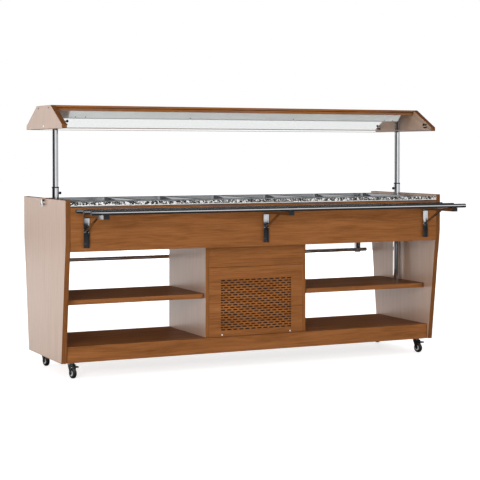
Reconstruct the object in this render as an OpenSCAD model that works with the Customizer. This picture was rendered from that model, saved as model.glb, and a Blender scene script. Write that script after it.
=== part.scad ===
// Mobile refrigerated salad bar for a row of gastronorm pans.
// +X runs along the bar, -Y is the customer side, +Z is up, the origin is on the floor below the middle.

/* [Pans and well] */
// Width of a pan over its rim
pan_w = 325; // [320:1:340]
// Depth of a pan over its rim
pan_d = 530; // [510:1:540]
// Depth of a pan below its rim
pan_h = 150; // [65:5:150]
// Thickness of the pan sheet
pan_wall = 1.5; // [1:0.1:2.5]
// Width of the pan rim
pan_rim = 11; // [9:0.5:13]
// Draw of the pan walls, top to bottom on each side
pan_draft = 9; // [4:1:14]
// Gap between neighbouring pan rims
pan_gap = 1; // [0.6:0.1:2]
// Depth of the well below the worktop
well_h = 180; // [172:1:190]
// Thickness of the well sheet
well_wall = 1.2; // [1:0.1:2]
// Width of the well lip that lies on the worktop
lip_w = 20; // [14:1:26]

/* [Cabinet] */
// Distance from the outermost pan rim to the outer face of the end panel
end_space = 122.5; // [121:0.5:200]
// Distance from the pan rim to the front face
side_space = 89; // [75:1:120]
// Depth of the end panels at their foot
foot_d = 555; // [548:1:620]
// Height of the end panels
panel_h = 821; // [815:1:860]
// Thickness of the end panels
panel_t = 26; // [22:1:30]
// Height of the straight part of the end panels
panel_straight = 200; // [150:5:230]
// Thickness of the worktop slab
worktop_t = 20; // [16:1:24]
// Radius of the worktop's upper front and rear edges
worktop_edge_r = 7; // [3:0.5:10]
// Distance of the worktop's face below the panel tops
worktop_drop = 10; // [4:1:20]
// Shadow gap between worktop and fascia
fascia_gap = 5; // [2:0.5:8]
// Height of the fascia boards
fascia_h = 222; // [210:1:232]
// Thickness of fascias, plinths and deck boards
board_t = 18; // [16:1:22]
// Wall of the insulated jacket at its two ends
jacket_wall = 35; // [28:1:36]
// Width of the centre compartment over its partitions
cabinet_w = 596; // [560:2:640]
// Depth of the centre compartment
cabinet_d = 500; // [480:2:510]
// Thickness of the partitions
partition_t = 20; // [16:1:24]
// Height of the service panels
service_h = 367; // [350:1:385]
// Thickness of the service panels and the panels above them
service_t = 12; // [8:1:18]
// Gap between the service panel and the panel above it
seam = 1.5; // [1:0.5:5]
// Height of the plinths
plinth_h = 82; // [70:1:95]
// Distance of the mid shelves above the deck
shelf_rise = 232; // [200:1:260]
// Thickness of the mid shelves
shelf_t = 25; // [18:1:30]
// Depth of the mid shelves
shelf_d = 488; // [440:2:494]
// Radius of the mid shelf corners
shelf_r = 25; // [5:1:40]

/* [Grille] */
// Rows of slots in a service panel
grille_rows = 21; // [9:2:21]
// Long slots in a full row
grille_slots = 12; // [6:1:12]
// Distance between slots in a row
slot_pitch = 35.8; // [30:0.1:36]
// Distance between rows
row_pitch = 13.1; // [11:0.1:14]
// Length of a slot
slot_l = 26; // [20:0.5:28]
// Height of a slot
slot_w = 6.2; // [4:0.1:8]

/* [Canopy] */
// Distance from the panel tops to the raised canopy
canopy_rise = 356; // [300:1:380]
// Height of the canopy caps
cap_h = 121; // [110:1:140]
// Depth of the caps at the bottom
cap_foot_d = 605; // [560:1:650]
// Depth of the caps at the top
cap_top_d = 237; // [220:1:260]
// Height of the upright nose at the lower cap corners
cap_nose = 20; // [12:1:26]
// Thickness of the canopy caps
cap_t = 26; // [20:1:30]
// Thickness of the canopy's top board
roof_t = 26; // [20:1:30]
// Width of the groove along the edges of the top board
roof_groove = 3; // [2:0.5:5]
// Height of the light housing
light_h = 39; // [30:1:44]
// Width of the light housing at its open side
light_foot_w = 152; // [130:2:170]
// Distance from the outer cap face to the end of the light housing
light_in = 107; // [95:1:140]
// Diameter of the lamp tube
lamp_d = 16; // [12:1:18]
// Thickness of the glass shields
glass_t = 5; // [4:0.5:6]
// Diameter of the canopy posts
post_d = 30; // [28:0.5:31]
// Distance of the post axis from the outer face
post_in = 62; // [61:0.5:64]
// Height of the post collars above the worktop
collar_h = 62; // [40:1:70]
// Outer diameter of the post collars
collar_d = 36; // [35:0.5:37]
// Outer diameter of the guide tubes
guide_d = 44; // [42:0.5:46]
// Height of the black bushes on the collars
bush_h = 6; // [4:0.5:10]

/* [Tray slides] */
// Diameter of the slide tubes
tube_d = 22; // [18:0.5:25]
// Distance of the slide tube ends from the outer faces
tube_in = 32; // [20:1:60]
// Distance of the first slide tube from the arm hinge
tube_first = 52; // [46:1:60]
// Distance between slide tubes
tube_pitch = 111; // [95:1:113]
// Width of a slide arm
arm_w = 30; // [28:0.5:34]
// Height of a slide arm
arm_h = 20; // [18:0.5:24]
// Length of a slide arm from its hinge
arm_l = 287; // [284:1:305]
// Distance of the outer brackets from the outer faces
bracket_in = 105; // [90:1:140]
// Length of the wall brackets
bracket_l = 161; // [150:1:170]
// Distance of the arm hinge in front of the fascia
hinge_out = 13; // [13:0.1:14]
// Distance of the arm hinge below the worktop's upper face
hinge_drop = 74; // [60:1:80]
// Distance of the strut hinge below the arm hinge
strut_drop = 76; // [72:1:80]
// Length of a strut between its ends
strut_l = 172; // [168:1:176]
// Slope of a strut when its slide is raised
strut_angle = 27; // [26:0.5:28]

/* [Casters] */
// Height of the casters
caster_h = 82; // [80:1:100]
// Diameter of the caster wheels
wheel_d = 54; // [48:1:56]
// Width of the caster wheels
wheel_w = 20; // [16:1:22]
// Distance of the wheel axle from the swivel axis
caster_trail = 16; // [12:1:20]
// Size of the square caster plates
caster_plate = 56; // [48:1:60]
// Distance of the casters from the outer end faces
caster_in = 70; // [65:1:120]
// Distance of the casters from the middle plane
caster_y = 222; // [200:1:224]
// Heading of the casters as they stand
caster_heading = -78; // [-180:1:180]

/* [Cooling unit] */
// Diameter of the compressor shell
compressor_d = 130; // [110:2:150]
// Height of the compressor shell
compressor_h = 165; // [140:5:190]
// Width and height of the condenser
condenser_s = 250; // [220:5:260]
// Number of condenser fins
condenser_fins = 25; // [13:2:31]
// Diameter of the fan
fan_d = 196; // [160:2:204]
// Diameter of the evaporator tube
evaporator_d = 10; // [8:0.5:12]

/* [Hidden] */
$fn = 48;
pan_count = 6;
fit = 0.3;          // gap between pieces that only rest on each other
running = 0.05;     // radial clearance of shafts and pins in their bores
sheet = 2;          // common thickness of bent steel parts
rim_fn = 32;        // facets of rounded pan corners

body_l = pan_count * pan_w + (pan_count - 1) * pan_gap + 2 * end_space;
body_d = pan_d + 2 * side_space;
half_l = body_l / 2;
half_d = body_d / 2;
inner_x = half_l - panel_t;
panel_top = caster_h + panel_h;
worktop_top = panel_top - worktop_drop;
worktop_z = worktop_top - worktop_t;
fascia_top = worktop_z - fascia_gap;
fascia_z = fascia_top - fascia_h;
deck_top = caster_h + plinth_h;
plinth_y = foot_d / 2 - 9.5;              // outer face of the plinths, a little inside the panel feet
shelf_top = deck_top + shelf_rise;
cabinet_x = cabinet_w / 2;
cabinet_y = cabinet_d / 2;

pan_pitch = pan_w + pan_gap;
pans_l = pan_count * pan_pitch - pan_gap;
pan_side = 9.5;                           // from the rim edge to the pan body
well_seat = 2;                            // how far the rims reach over the well edge
well_l = pans_l - 2 * (pan_side - well_seat);
well_d = pan_d - 2 * (pan_rim - well_seat / 2);
well_clear = 1;                           // gap between the well and the worktop cut-out
lip_t = 1.2;
lip_r = 8;
lip_top = worktop_top + lip_t;
well_floor = worktop_top - well_h;
bar_w = 12;                               // width of the cross bars between pans
bar_h = 3;
rim_t = 1.5;
pan_corner_r = 30;
pan_rim_r = 12;
drain_d = 26;
drain_out = 20;                           // how far the drain ends below the jacket

jacket_x = well_l / 2 + well_wall + jacket_wall;
jacket_y = half_d - board_t;
jacket_z = fascia_z + 4;

service_top = deck_top + service_h;
grille_rise = 35.2;                       // lowest row of slots above the deck
upper_z = service_top + seam;

post_x = half_l - post_in;
cap_z = panel_top + canopy_rise;
canopy_top = cap_z + cap_h;
roof_z = canopy_top - roof_t;
roof_y = cap_top_d / 2;
canopy_travel = canopy_rise - 6;
post_z = shelf_top + 4 + canopy_travel;   // lower end of the raised posts
bush_d = collar_d + 2;
bush_bore = post_d + 2 * running;
collar_bore = post_d + 0.8;
collar_seat = 20;                         // length of the collar inside the guide tube
guide_bore = collar_d + 0.4;
flange_d = 60;
flange_t = 4;
knob_z = worktop_top + 36;
knob_stem_d = 6;
knob_head_d = 16;
knob_head_l = 10;

light_x = half_l - light_in;
housing_t = 1.5;
cap_x = half_l - cap_t;                   // inner faces of the canopy caps
glass_x = cap_x - 1;
glass_seat = 4;                           // height of the glass foot above the cap bottom
glass_foot_y = cap_foot_d / 2 - 3;
glass_run = glass_foot_y - roof_y - 1;
glass_rise = roof_z - fit - cap_z - glass_seat;
glass_angle = atan2(glass_rise, glass_run);
glass_l = norm([glass_run, glass_rise]);
holder_y = glass_foot_y - 48.5;           // place of the glass holders
holder_ball_d = 14;
holder_x = cap_x - 18;
holder_peg_d = 8;
holder_slope_z = cap_z + glass_seat + (glass_foot_y - holder_y) * tan(glass_angle);
holder_ball_z = holder_slope_z + fit + holder_ball_d / 2 / cos(glass_angle);
holder_peg_z = holder_slope_z - (glass_t + fit + holder_peg_d / 2) / cos(glass_angle);

hinge_z = worktop_top - hinge_drop;
arm_from = 12;                            // start of the arm tube, measured from its hinge
arm_rise = 1;                             // underside of the arm above the hinge axis
arm_wall = 1.5;
arm_hinge_d = 6;
arm_eye_d = 12;
ear_d = 14;
bracket_depth = 12.5;
bracket_web = 3;
bracket_room = arm_w - 2 * sheet;         // between the bracket flanges
tongue_w = bracket_room - 1;
strut_out = hinge_out - 5;
strut_hinge_d = 5;
strut_eye_d = 9;
strut_w = 12;
strut_t = 7;
strut_ratio = (90 + strut_angle) / 90;
slot_room = strut_w + 4;                  // width of the slot under the arm, for the strut's end
slot_from = 128;
slot_l_arm = 134;
tube_height = arm_rise + arm_h + tube_d / 2 - 0.5;
tube_wall = 1.5;
tube_cap = 2;
tube_l = body_l - 2 * (tube_in + tube_cap);
bracket_x = half_l - bracket_in;
bracket_places = [-bracket_x, 0, bracket_x];
front_fold = 0;
rear_fold = 90;
bracket_screw_z = [hinge_z - 11, hinge_z - 135.5];
screw_d = 4;
screw_head_d = 8;
screw_l = 12;
service_screw_x = 203;
service_screw_z = deck_top + 9;

axle_z = wheel_d / 2;
axle_d = 6;
hub_d = 30;
race_d = 34;
race_h = 8;
plate_t = 3;
king_d = 10;
fork_in = wheel_w + 4;                    // between the fork legs
fork_t = 2.5;
fork_top = caster_h - plate_t - race_h - fit;
fork_disc_t = 3;
braked = 2;                               // the casters along the front have a brake
pedal_x = 6;
pedal_z = fork_top - fork_disc_t - 7.5;
pedal_pin_d = 4;
pedal_t = 4;
caster_x = half_l - caster_in;
caster_places = [for (y = [-caster_y, caster_y], x = [-caster_x, caster_x]) [x, y]];

condenser_x = -120;
condenser_y = -cabinet_y + service_t + 45;
condenser_t = 40;
compressor_x = 150;
compressor_y = 60;
motor_d = 60;
motor_l = 45;
fan_axis_z = deck_top + 20 + condenser_s / 2;
fan_y = condenser_y + condenser_t + 32;
fan_hub_l = 20;
motor_y = fan_y + fan_hub_l + 4;
shaft_d = 5;
shaft_l = 26;

control_x = 150;
control_z = upper_z + 52;
control_w = 150;
control_h = 64;
control_depth = 50;
rocker_w = 20;
rocker_h = 26;
rocker_x = control_x + 50;
rocker_axis_y = cabinet_y - 2;
rocker_pin_d = 3;

// ---------- shared shapes ----------

// Rectangle with round corners, centred.
module round_rect(w, d, r) {
    square([w - 2 * r, d], center = true);
    square([w, d - 2 * r], center = true);
    for (x = [-1, 1], y = [-1, 1]) translate([x * (w / 2 - r), y * (d / 2 - r)]) circle(r);
}

// Extrudes an outline drawn in (Y, Z) along X from x0.
module along_x(x0, length) {
    translate([x0, 0, 0]) rotate([90, 0, 90]) linear_extrude(length) children();
}

// Extrudes an outline drawn in (X, Z) along Y from y0.
module along_y(y0, length) {
    translate([0, y0 + length, 0]) rotate([90, 0, 0]) linear_extrude(length) children();
}

// Box between two opposite corners.
module block(low, high) {
    translate(low) cube(high - low);
}

// Cylinder along X from x0.
module rod_x(x0, length, d) {
    translate([x0, 0, 0]) rotate([0, 90, 0]) cylinder(h = length, d = d);
}

// The children and their mirror image across the middle plane.
module front_and_rear() {
    children();
    mirror([0, 1, 0]) children();
}

module left_and_right() {
    children();
    mirror([1, 0, 0]) children();
}

// ---------- cabinet ----------

module end_panel() {
    break_z = panel_top - panel_straight;
    along_x(-half_l, panel_t)
        polygon([[-foot_d / 2, caster_h], [foot_d / 2, caster_h], [half_d, break_z], [half_d, panel_top],
            [-half_d, panel_top], [-half_d, break_z]]);
}

module end_panel_left() {
    color("tan") end_panel();
}

module end_panel_right() {
    color("tan") mirror([1, 0, 0]) end_panel();
}

module bracket_screws(d, from, length) {
    for (x = bracket_places, z = bracket_screw_z)
        translate([x, 0, z]) rotate([-90, 0, 0]) translate([0, 0, from]) cylinder(h = length, d = d);
}

module fascia() {
    difference() {
        block([-inner_x, half_d - board_t, fascia_z], [inner_x, half_d, fascia_top]);
        bracket_screws(screw_d + 0.2, half_d - screw_l, screw_l + 1);
    }
}

module fascia_front() {
    color("peru") mirror([0, 1, 0]) fascia();
}

module fascia_rear() {
    color("peru") fascia();
}

module worktop() {
    r = worktop_edge_r;
    cut_over = 2 * (well_wall + well_clear);
    color("dimgray") difference() {
        along_x(-inner_x, 2 * inner_x) {
            translate([-half_d, worktop_z]) square([body_d, worktop_t - r]);
            translate([-half_d + r, worktop_z]) square([body_d - 2 * r, worktop_t]);
            for (s = [-1, 1]) translate([s * (half_d - r), worktop_top - r]) circle(r);
        }
        translate([0, 0, worktop_z - 1]) linear_extrude(worktop_t + 2)
            square([well_l + cut_over, well_d + cut_over], center = true);
        for (s = [-1, 1]) translate([s * post_x, 0, worktop_z - 1])
            cylinder(h = worktop_t + 2, d = guide_bore);
    }
}

module well() {
    wall_l = well_l + 2 * well_wall;
    wall_d = well_d + 2 * well_wall;
    color("silver") difference() {
        union() {
            translate([0, 0, worktop_top]) linear_extrude(lip_t)
                round_rect(wall_l + 2 * lip_w, wall_d + 2 * lip_w, lip_r);
            translate([0, 0, well_floor - well_wall]) linear_extrude(well_h + well_wall + lip_t / 2)
                square([wall_l, wall_d], center = true);
            translate([0, 0, jacket_z - drain_out])
                cylinder(h = well_floor - jacket_z + drain_out, d = drain_d);
        }
        difference() {
            translate([0, 0, well_floor]) linear_extrude(well_h + lip_t + 1)
                square([well_l, well_d], center = true);
            for (i = [1 : pan_count - 1])
                translate([(i - pan_count / 2) * pan_pitch - bar_w / 2, -well_d / 2 - 1, lip_top - bar_h])
                    cube([bar_w, well_d + 2, bar_h]);
        }
        translate([0, 0, jacket_z - drain_out - 1]) cylinder(h = well_h, d = drain_d - 4);
    }
}

module well_jacket() {
    room_l = well_l + 2 * well_wall + 1;
    room_d = well_d + 2 * well_wall + 1;
    color("gainsboro") difference() {
        block([-jacket_x, -jacket_y, jacket_z], [jacket_x, jacket_y, worktop_z]);
        translate([0, 0, well_floor - well_wall - fit]) linear_extrude(well_h)
            square([room_l, room_d], center = true);
        translate([0, 0, jacket_z - 1]) cylinder(h = well_h, d = drain_d + 1);
    }
}

module deck_boards() {
    y = plinth_y - board_t;
    color("sienna") {
        block([-inner_x, -y, deck_top - board_t], [inner_x, y, deck_top]);
        block([-inner_x, -y, caster_h], [inner_x, y, caster_h + board_t]);
    }
}

module plinths() {
    color("peru") front_and_rear()
        block([-inner_x, plinth_y - board_t, caster_h], [inner_x, plinth_y, deck_top]);
}

module mid_shelves() {
    length = inner_x - cabinet_x;
    color("peru") left_and_right() translate([cabinet_x + length / 2, 0, shelf_top - shelf_t])
        linear_extrude(shelf_t) round_rect(length, shelf_d, shelf_r);
}

module partitions() {
    color("rosybrown") left_and_right()
        block([cabinet_x - partition_t, -cabinet_y, deck_top], [cabinet_x, cabinet_y, jacket_z]);
}

// Blank panel over the service panel, drawn for the rear.
module upper_panel() {
    x = cabinet_x - partition_t;
    block([-x, cabinet_y - service_t, upper_z], [x, cabinet_y, jacket_z]);
}

// One slot of the grille, as an outline in (X, Z).
module grille_slot(length) {
    square([length - slot_w, slot_w], center = true);
    for (s = [-1, 1]) translate([s * (length - slot_w) / 2, 0]) circle(d = slot_w, $fn = 16);
}

module grille_slots_at(z0) {
    first = -(grille_slots - 1) / 2 * slot_pitch;
    half_l_slot = slot_l / 2;
    edge = first - slot_l / 2 + half_l_slot / 2;
    for (row = [0 : grille_rows - 1]) translate([0, z0 + row * row_pitch]) {
        if (row % 2 == 0) for (i = [0 : grille_slots - 1])
            translate([first + i * slot_pitch, 0]) grille_slot(slot_l);
        if (row % 2 == 1) {
            for (i = [0 : grille_slots - 2])
                translate([first + (i + 0.5) * slot_pitch, 0]) grille_slot(slot_l);
            for (s = [-1, 1]) translate([s * edge, 0]) grille_slot(half_l_slot);
        }
    }
}

module service_panel() {
    x = cabinet_x - partition_t - fit;
    color("peru") difference() {
        along_y(cabinet_y - service_t, service_t) difference() {
            translate([-x, deck_top + fit]) square([2 * x, service_h - fit]);
            grille_slots_at(deck_top + grille_rise);
        }
        for (s = [-1, 1]) translate([s * service_screw_x, cabinet_y - service_t - 1, service_screw_z])
            rotate([-90, 0, 0]) cylinder(h = service_t + 2, d = screw_d + 0.2);
    }
}

module upper_panel_front() {
    color("peru") mirror([0, 1, 0]) upper_panel();
}

module service_panel_front() {
    mirror([0, 1, 0]) service_panel();
}

module upper_panel_rear() {
    color("peru") difference() {
        upper_panel();
        translate([control_x - control_w / 2 + 9, cabinet_y - service_t - 1, control_z - control_h / 2 + 5])
            cube([control_w - 18, service_t + 2, control_h - 10]);
    }
}

module service_panel_rear() {
    service_panel();
}

// A round-headed screw along +Y; its head seat is at y.
module screw(x, y, z, head_t, shank) {
    translate([x, y, z]) rotate([-90, 0, 0]) {
        cylinder(h = head_t, d = screw_head_d, $fn = 24);
        translate([0, 0, -shank]) cylinder(h = shank, d = screw_d, $fn = 24);
    }
}

module panel_fasteners() {
    cap_d = 40;
    cap_t_out = 13;
    cap_round = 4;
    color("gainsboro") {
        front_and_rear() {
            for (s = [-1, 1]) screw(s * service_screw_x, cabinet_y, service_screw_z, 2, service_t);
            for (x = bracket_places, z = bracket_screw_z)
                screw(x, half_d + bracket_web, z, 1, bracket_web + screw_l - 1);
        }
        left_and_right() translate([half_l, 0, worktop_top - 14]) rotate([0, 90, 0]) rotate_extrude() {
            square([cap_d / 2, cap_t_out - cap_round]);
            square([cap_d / 2 - cap_round, cap_t_out]);
            translate([cap_d / 2 - cap_round, cap_t_out - cap_round]) intersection() {
                circle(cap_round);
                square(cap_round);
            }
        }
    }
}

// ---------- post guides ----------

module post_guides() {
    color("silver") left_and_right() translate([post_x, 0, shelf_top]) difference() {
        cylinder(h = worktop_z - shelf_top, d = guide_d);
        translate([0, 0, -1]) cylinder(h = worktop_z - shelf_top + 2, d = guide_bore);
    }
}

module post_collars() {
    collar_l = worktop_t + collar_seat + collar_h;
    color("silver") left_and_right() translate([post_x, 0, 0]) difference() {
        translate([0, 0, worktop_z - collar_seat]) cylinder(h = collar_l, d = collar_d);
        translate([0, 0, worktop_z - collar_seat - 1]) cylinder(h = collar_l + 2, d = collar_bore);
        translate([0, 0, knob_z]) rotate([0, -90, 0]) cylinder(h = collar_d, d = knob_stem_d + 2 * running);
    }
}

module post_bushes() {
    lower_h = 20;
    color("black") left_and_right() translate([post_x, 0, 0]) difference() {
        union() {
            translate([0, 0, worktop_top + collar_h]) cylinder(h = bush_h, d = bush_d);
            translate([0, 0, post_z + 20]) cylinder(h = lower_h, d = guide_bore - 2 * running);
        }
        translate([0, 0, post_z]) cylinder(h = panel_top, d = bush_bore);
    }
}

// Thumb knob on the right collar; it points to the middle of the bar.
module thumb_knob() {
    grips = 6;
    neck = 3;
    color("dimgray") translate([post_x, 0, knob_z]) rotate([0, -90, 0]) {
        translate([0, 0, post_d / 2 + fit]) cylinder(h = (collar_d - post_d) / 2 + neck, d = knob_stem_d);
        translate([0, 0, collar_d / 2 + fit]) {
            cylinder(h = neck, d = knob_head_d - 5);
            translate([0, 0, neck]) difference() {
                cylinder(h = knob_head_l, d = knob_head_d);
                for (i = [0 : grips - 1]) rotate(i * 360 / grips)
                    translate([knob_head_d / 2 + 2, 0, -1]) cylinder(h = knob_head_l + 2, d = 6);
            }
        }
    }
}

module thumb_knob_left() {
    mirror([1, 0, 0]) thumb_knob();
}

module thumb_knob_right() {
    thumb_knob();
}

// ---------- canopy ----------

module canopy_cap() {
    color("tan") along_x(cap_x, cap_t)
        polygon([[-cap_foot_d / 2, cap_z], [cap_foot_d / 2, cap_z], [cap_foot_d / 2, cap_z + cap_nose],
            [roof_y, canopy_top], [-roof_y, canopy_top], [-cap_foot_d / 2, cap_z + cap_nose]]);
}

module canopy_cap_left() {
    mirror([1, 0, 0]) canopy_cap();
}

module canopy_cap_right() {
    canopy_cap();
}

module canopy_roof() {
    groove_depth = 2;
    color("peru") difference() {
        block([-cap_x, -roof_y, roof_z], [cap_x, roof_y, canopy_top]);
        front_and_rear() block([-cap_x - 1, roof_y - groove_depth, roof_z + (roof_t - roof_groove) / 2],
            [cap_x + 1, roof_y + 1, roof_z + (roof_t + roof_groove) / 2]);
    }
}

// Trough with sloping sides, open downwards.
module light_housing() {
    wall = housing_t;
    top_y = roof_y - 4;
    foot_y = light_foot_w / 2;
    low_z = roof_z - light_h;
    color("whitesmoke") difference() {
        along_x(-light_x, 2 * light_x)
            polygon([[-foot_y, low_z], [foot_y, low_z], [top_y, roof_z], [-top_y, roof_z]]);
        along_x(-light_x + wall, 2 * (light_x - wall))
            polygon([[-foot_y + 2 * wall, low_z - 1], [foot_y - 2 * wall, low_z - 1],
                [top_y - 3 * wall, roof_z - wall], [-top_y + 3 * wall, roof_z - wall]]);
    }
}

module lamp_tube() {
    socket = 14;
    socket_w = 20;
    lamp_z = roof_z - light_h / 2 - 1;
    socket_z = lamp_z - lamp_d / 2 - 1;
    x = light_x - housing_t;
    color("white") {
        translate([0, 0, lamp_z]) rod_x(-x + socket + fit, 2 * (x - socket - fit), lamp_d);
        left_and_right()
            block([x - socket, -socket_w / 2, socket_z], [x, socket_w / 2, roof_z - housing_t]);
    }
}

module glass_shield() {
    translate([-glass_x, glass_foot_y, cap_z + glass_seat]) rotate([180 - glass_angle, 0, 0])
        cube([2 * glass_x, glass_l, glass_t]);
}

module glass_front() {
    color("lightcyan", 0.35) mirror([0, 1, 0]) glass_shield();
}

module glass_rear() {
    color("lightcyan", 0.35) glass_shield();
}

// Ball knob with its stem, turned about X, reaching to the cap.
module holder_knob() {
    stem_r = 2.5;
    r = holder_ball_d / 2;
    rotate([0, 90, 0]) rotate_extrude() {
        square([stem_r, cap_x - holder_x]);
        intersection() {
            circle(r);
            translate([0, -r]) square([r, 2 * r]);
        }
    }
}

module canopy_fittings() {
    cap_screw_y = 84;
    cap_screw_t = 1.5;
    dot_d = 12;
    dot_t = 1.2;
    dot_z = cap_z + 15;
    color("black") left_and_right() front_and_rear() {
        translate([holder_x, holder_y, holder_ball_z]) holder_knob();
        translate([0, holder_y, holder_peg_z]) rod_x(holder_x, cap_x - holder_x, holder_peg_d);
        translate([0, cap_screw_y, canopy_top - roof_t / 2]) rod_x(half_l, cap_screw_t, screw_head_d);
    }
    color("white") left_and_right() translate([0, 0, dot_z]) rod_x(half_l, dot_t, dot_d);
}

module canopy_posts() {
    wall = 2;
    color("silver") left_and_right() translate([post_x, 0, 0]) difference() {
        union() {
            translate([0, 0, post_z]) cylinder(h = roof_z - post_z, d = post_d);
            translate([0, 0, roof_z - flange_t]) cylinder(h = flange_t, d = flange_d);
        }
        translate([0, 0, post_z - 1]) cylinder(h = roof_z - post_z + 2, d = post_d - 2 * wall);
    }
}

// ---------- pans ----------

// A pan seen from above its rim; grow < 0 gives its hollow.
module pan_body(grow, rise) {
    w = pan_w - 2 * pan_side + 2 * grow;
    d = pan_d - 2 * pan_rim + 2 * grow - 2;
    skin = 0.5;
    hull() {
        translate([0, 0, rise]) linear_extrude(skin) round_rect(w, d, pan_corner_r + grow, $fn = rim_fn);
        translate([0, 0, -pan_h - grow]) linear_extrude(skin)
            round_rect(w - 2 * pan_draft, d - 2 * pan_draft, pan_corner_r - 3 + grow, $fn = rim_fn);
    }
}

module pan(index) {
    x = (index - (pan_count + 1) / 2) * pan_pitch;
    color("lightgray") translate([x, 0, lip_top + fit]) difference() {
        union() {
            linear_extrude(rim_t) round_rect(pan_w, pan_d, pan_rim_r, $fn = rim_fn);
            pan_body(0, 0);
        }
        pan_body(-pan_wall, rim_t + 1);
    }
}

// ---------- tray slides ----------

// Puts a piece drawn at its hinge (Y outward, Z up, slide raised) in place; fold turns it down.
module at_hinge(front, out, z, fold) {
    mirror([0, front ? 1 : 0, 0]) translate([0, half_d + out, z]) rotate([-fold, 0, 0]) children();
}

module slide_tubes() {
    plug_l = 8;
    for (i = [0 : 2]) translate([0, tube_first + i * tube_pitch, tube_height]) {
        difference() {
            rod_x(-tube_l / 2, tube_l, tube_d);
            rod_x(-tube_l / 2 - 1, tube_l + 2, tube_d - 2 * tube_wall);
        }
        left_and_right() {
            rod_x(tube_l / 2, tube_cap, tube_d);
            rod_x(tube_l / 2 - plug_l, plug_l, tube_d - 2 * tube_wall - 0.2);
        }
    }
}

module slide_arm() {
    inner_h = arm_h - 2 * arm_wall;
    inner_w = arm_w - 2 * arm_wall;
    plug_t = 3;
    plug_in = 14;
    tube_end = arm_l - plug_t;
    difference() {
        union() {
            difference() {
                translate([-arm_w / 2, arm_from, arm_rise]) cube([arm_w, tube_end - arm_from, arm_h]);
                translate([-inner_w / 2, arm_from - 1, arm_rise + arm_wall])
                    cube([inner_w, tube_end - arm_from + 2, inner_h]);
            }
            translate([-tongue_w / 2, 0, arm_rise]) cube([tongue_w, arm_from + 26, arm_h]);
            rod_x(-tongue_w / 2, tongue_w, arm_eye_d);
        }
        rod_x(-arm_w, 2 * arm_w, arm_hinge_d + 2 * running);
        translate([-slot_room / 2, slot_from, arm_rise - 1]) cube([slot_room, slot_l_arm, arm_wall + 2]);
        for (i = [0 : 2]) translate([0, tube_first + i * tube_pitch, tube_height])
            rod_x(-arm_w, 2 * arm_w, tube_d + 2 * running);
    }
    translate([-arm_w / 2, tube_end + running, arm_rise]) cube([arm_w, plug_t - running, arm_h]);
    translate([-inner_w / 2 + running, tube_end - plug_in, arm_rise + arm_wall + running])
        cube([inner_w - 2 * running, plug_in + running, inner_h - 2 * running]);
}

module slide_arms() {
    for (x = bracket_places) translate([x, 0, 0]) slide_arm();
}

module slide_struts() {
    for (x = bracket_places) translate([x - strut_w / 2, 0, 0]) difference() {
        union() {
            rod_x(0, strut_w, strut_eye_d);
            translate([0, strut_l, 0]) rod_x(0, strut_w, strut_t);
            translate([0, 0, -strut_t / 2]) cube([strut_w, strut_l, strut_t]);
        }
        rod_x(-1, strut_w + 2, strut_hinge_d + 2 * running);
    }
}

// Rest position of the struts of a slide folded down by fold.
module struts_at(front, fold) {
    at_hinge(front, strut_out, hinge_z - strut_drop, fold * strut_ratio - strut_angle) slide_struts();
}

module front_slide_tubes() {
    color("silver") at_hinge(true, hinge_out, hinge_z, front_fold) slide_tubes();
}

module front_slide_arms() {
    color("gray") at_hinge(true, hinge_out, hinge_z, front_fold) slide_arms();
}

module front_slide_struts() {
    color("gray") struts_at(true, front_fold);
}

module rear_slide_tubes() {
    color("silver") at_hinge(false, hinge_out, hinge_z, rear_fold) slide_tubes();
}

module rear_slide_arms() {
    color("gray") at_hinge(false, hinge_out, hinge_z, rear_fold) slide_arms();
}

module rear_slide_struts() {
    color("gray") struts_at(false, rear_fold);
}

// Wall bracket: channel with ears round the arm hinge, with both hinge pins; drawn for the rear.
module slide_bracket() {
    top_z = hinge_z + ear_d / 2;
    foot_z = top_z - bracket_l;
    strut_pin_z = hinge_z - strut_drop;
    spacer = (bracket_room - strut_w) / 2 - fit;
    difference() {
        union() {
            block([-arm_w / 2, half_d, foot_z], [arm_w / 2, half_d + bracket_web, top_z]);
            left_and_right() along_x(arm_w / 2 - sheet, sheet) {
                translate([half_d, foot_z]) square([bracket_depth, bracket_l]);
                translate([half_d + hinge_out, hinge_z]) circle(d = ear_d);
            }
        }
        for (z = bracket_screw_z) translate([0, half_d - 1, z]) rotate([-90, 0, 0])
            cylinder(h = bracket_web + 2, d = screw_d + 0.2);
    }
    translate([0, half_d + hinge_out, hinge_z]) rod_x(-arm_w / 2 - 1.5, arm_w + 3, arm_hinge_d);
    translate([0, half_d + strut_out, strut_pin_z]) {
        rod_x(-arm_w / 2 - 1, arm_w + 2, strut_hinge_d);
        left_and_right() rod_x(strut_w / 2 + fit, spacer, strut_eye_d - 0.2);
    }
}

module slide_brackets() {
    color("silver") front_and_rear() for (x = bracket_places) translate([x, 0, 0]) slide_bracket();
}

// ---------- casters ----------

// Puts a caster piece, drawn with its trail along X, in place.
module at_caster(index) {
    place = caster_places[index - 1];
    translate([place[0], place[1], 0]) rotate(caster_heading) children();
}

module caster_plates() {
    king_l = fork_disc_t + 2 * fit + 2;
    color("dimgray") for (place = caster_places) translate([place[0], place[1], 0]) {
        translate([-caster_plate / 2, -caster_plate / 2, caster_h - plate_t])
            cube([caster_plate, caster_plate, plate_t]);
        translate([0, 0, caster_h - plate_t - race_h]) cylinder(h = race_h, d = race_d);
        translate([0, 0, fork_top + fit - king_l]) cylinder(h = king_l, d = king_d);
        translate([0, 0, fork_top + fit - king_l]) cylinder(h = 2, d = king_d + 4);
    }
}

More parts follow.
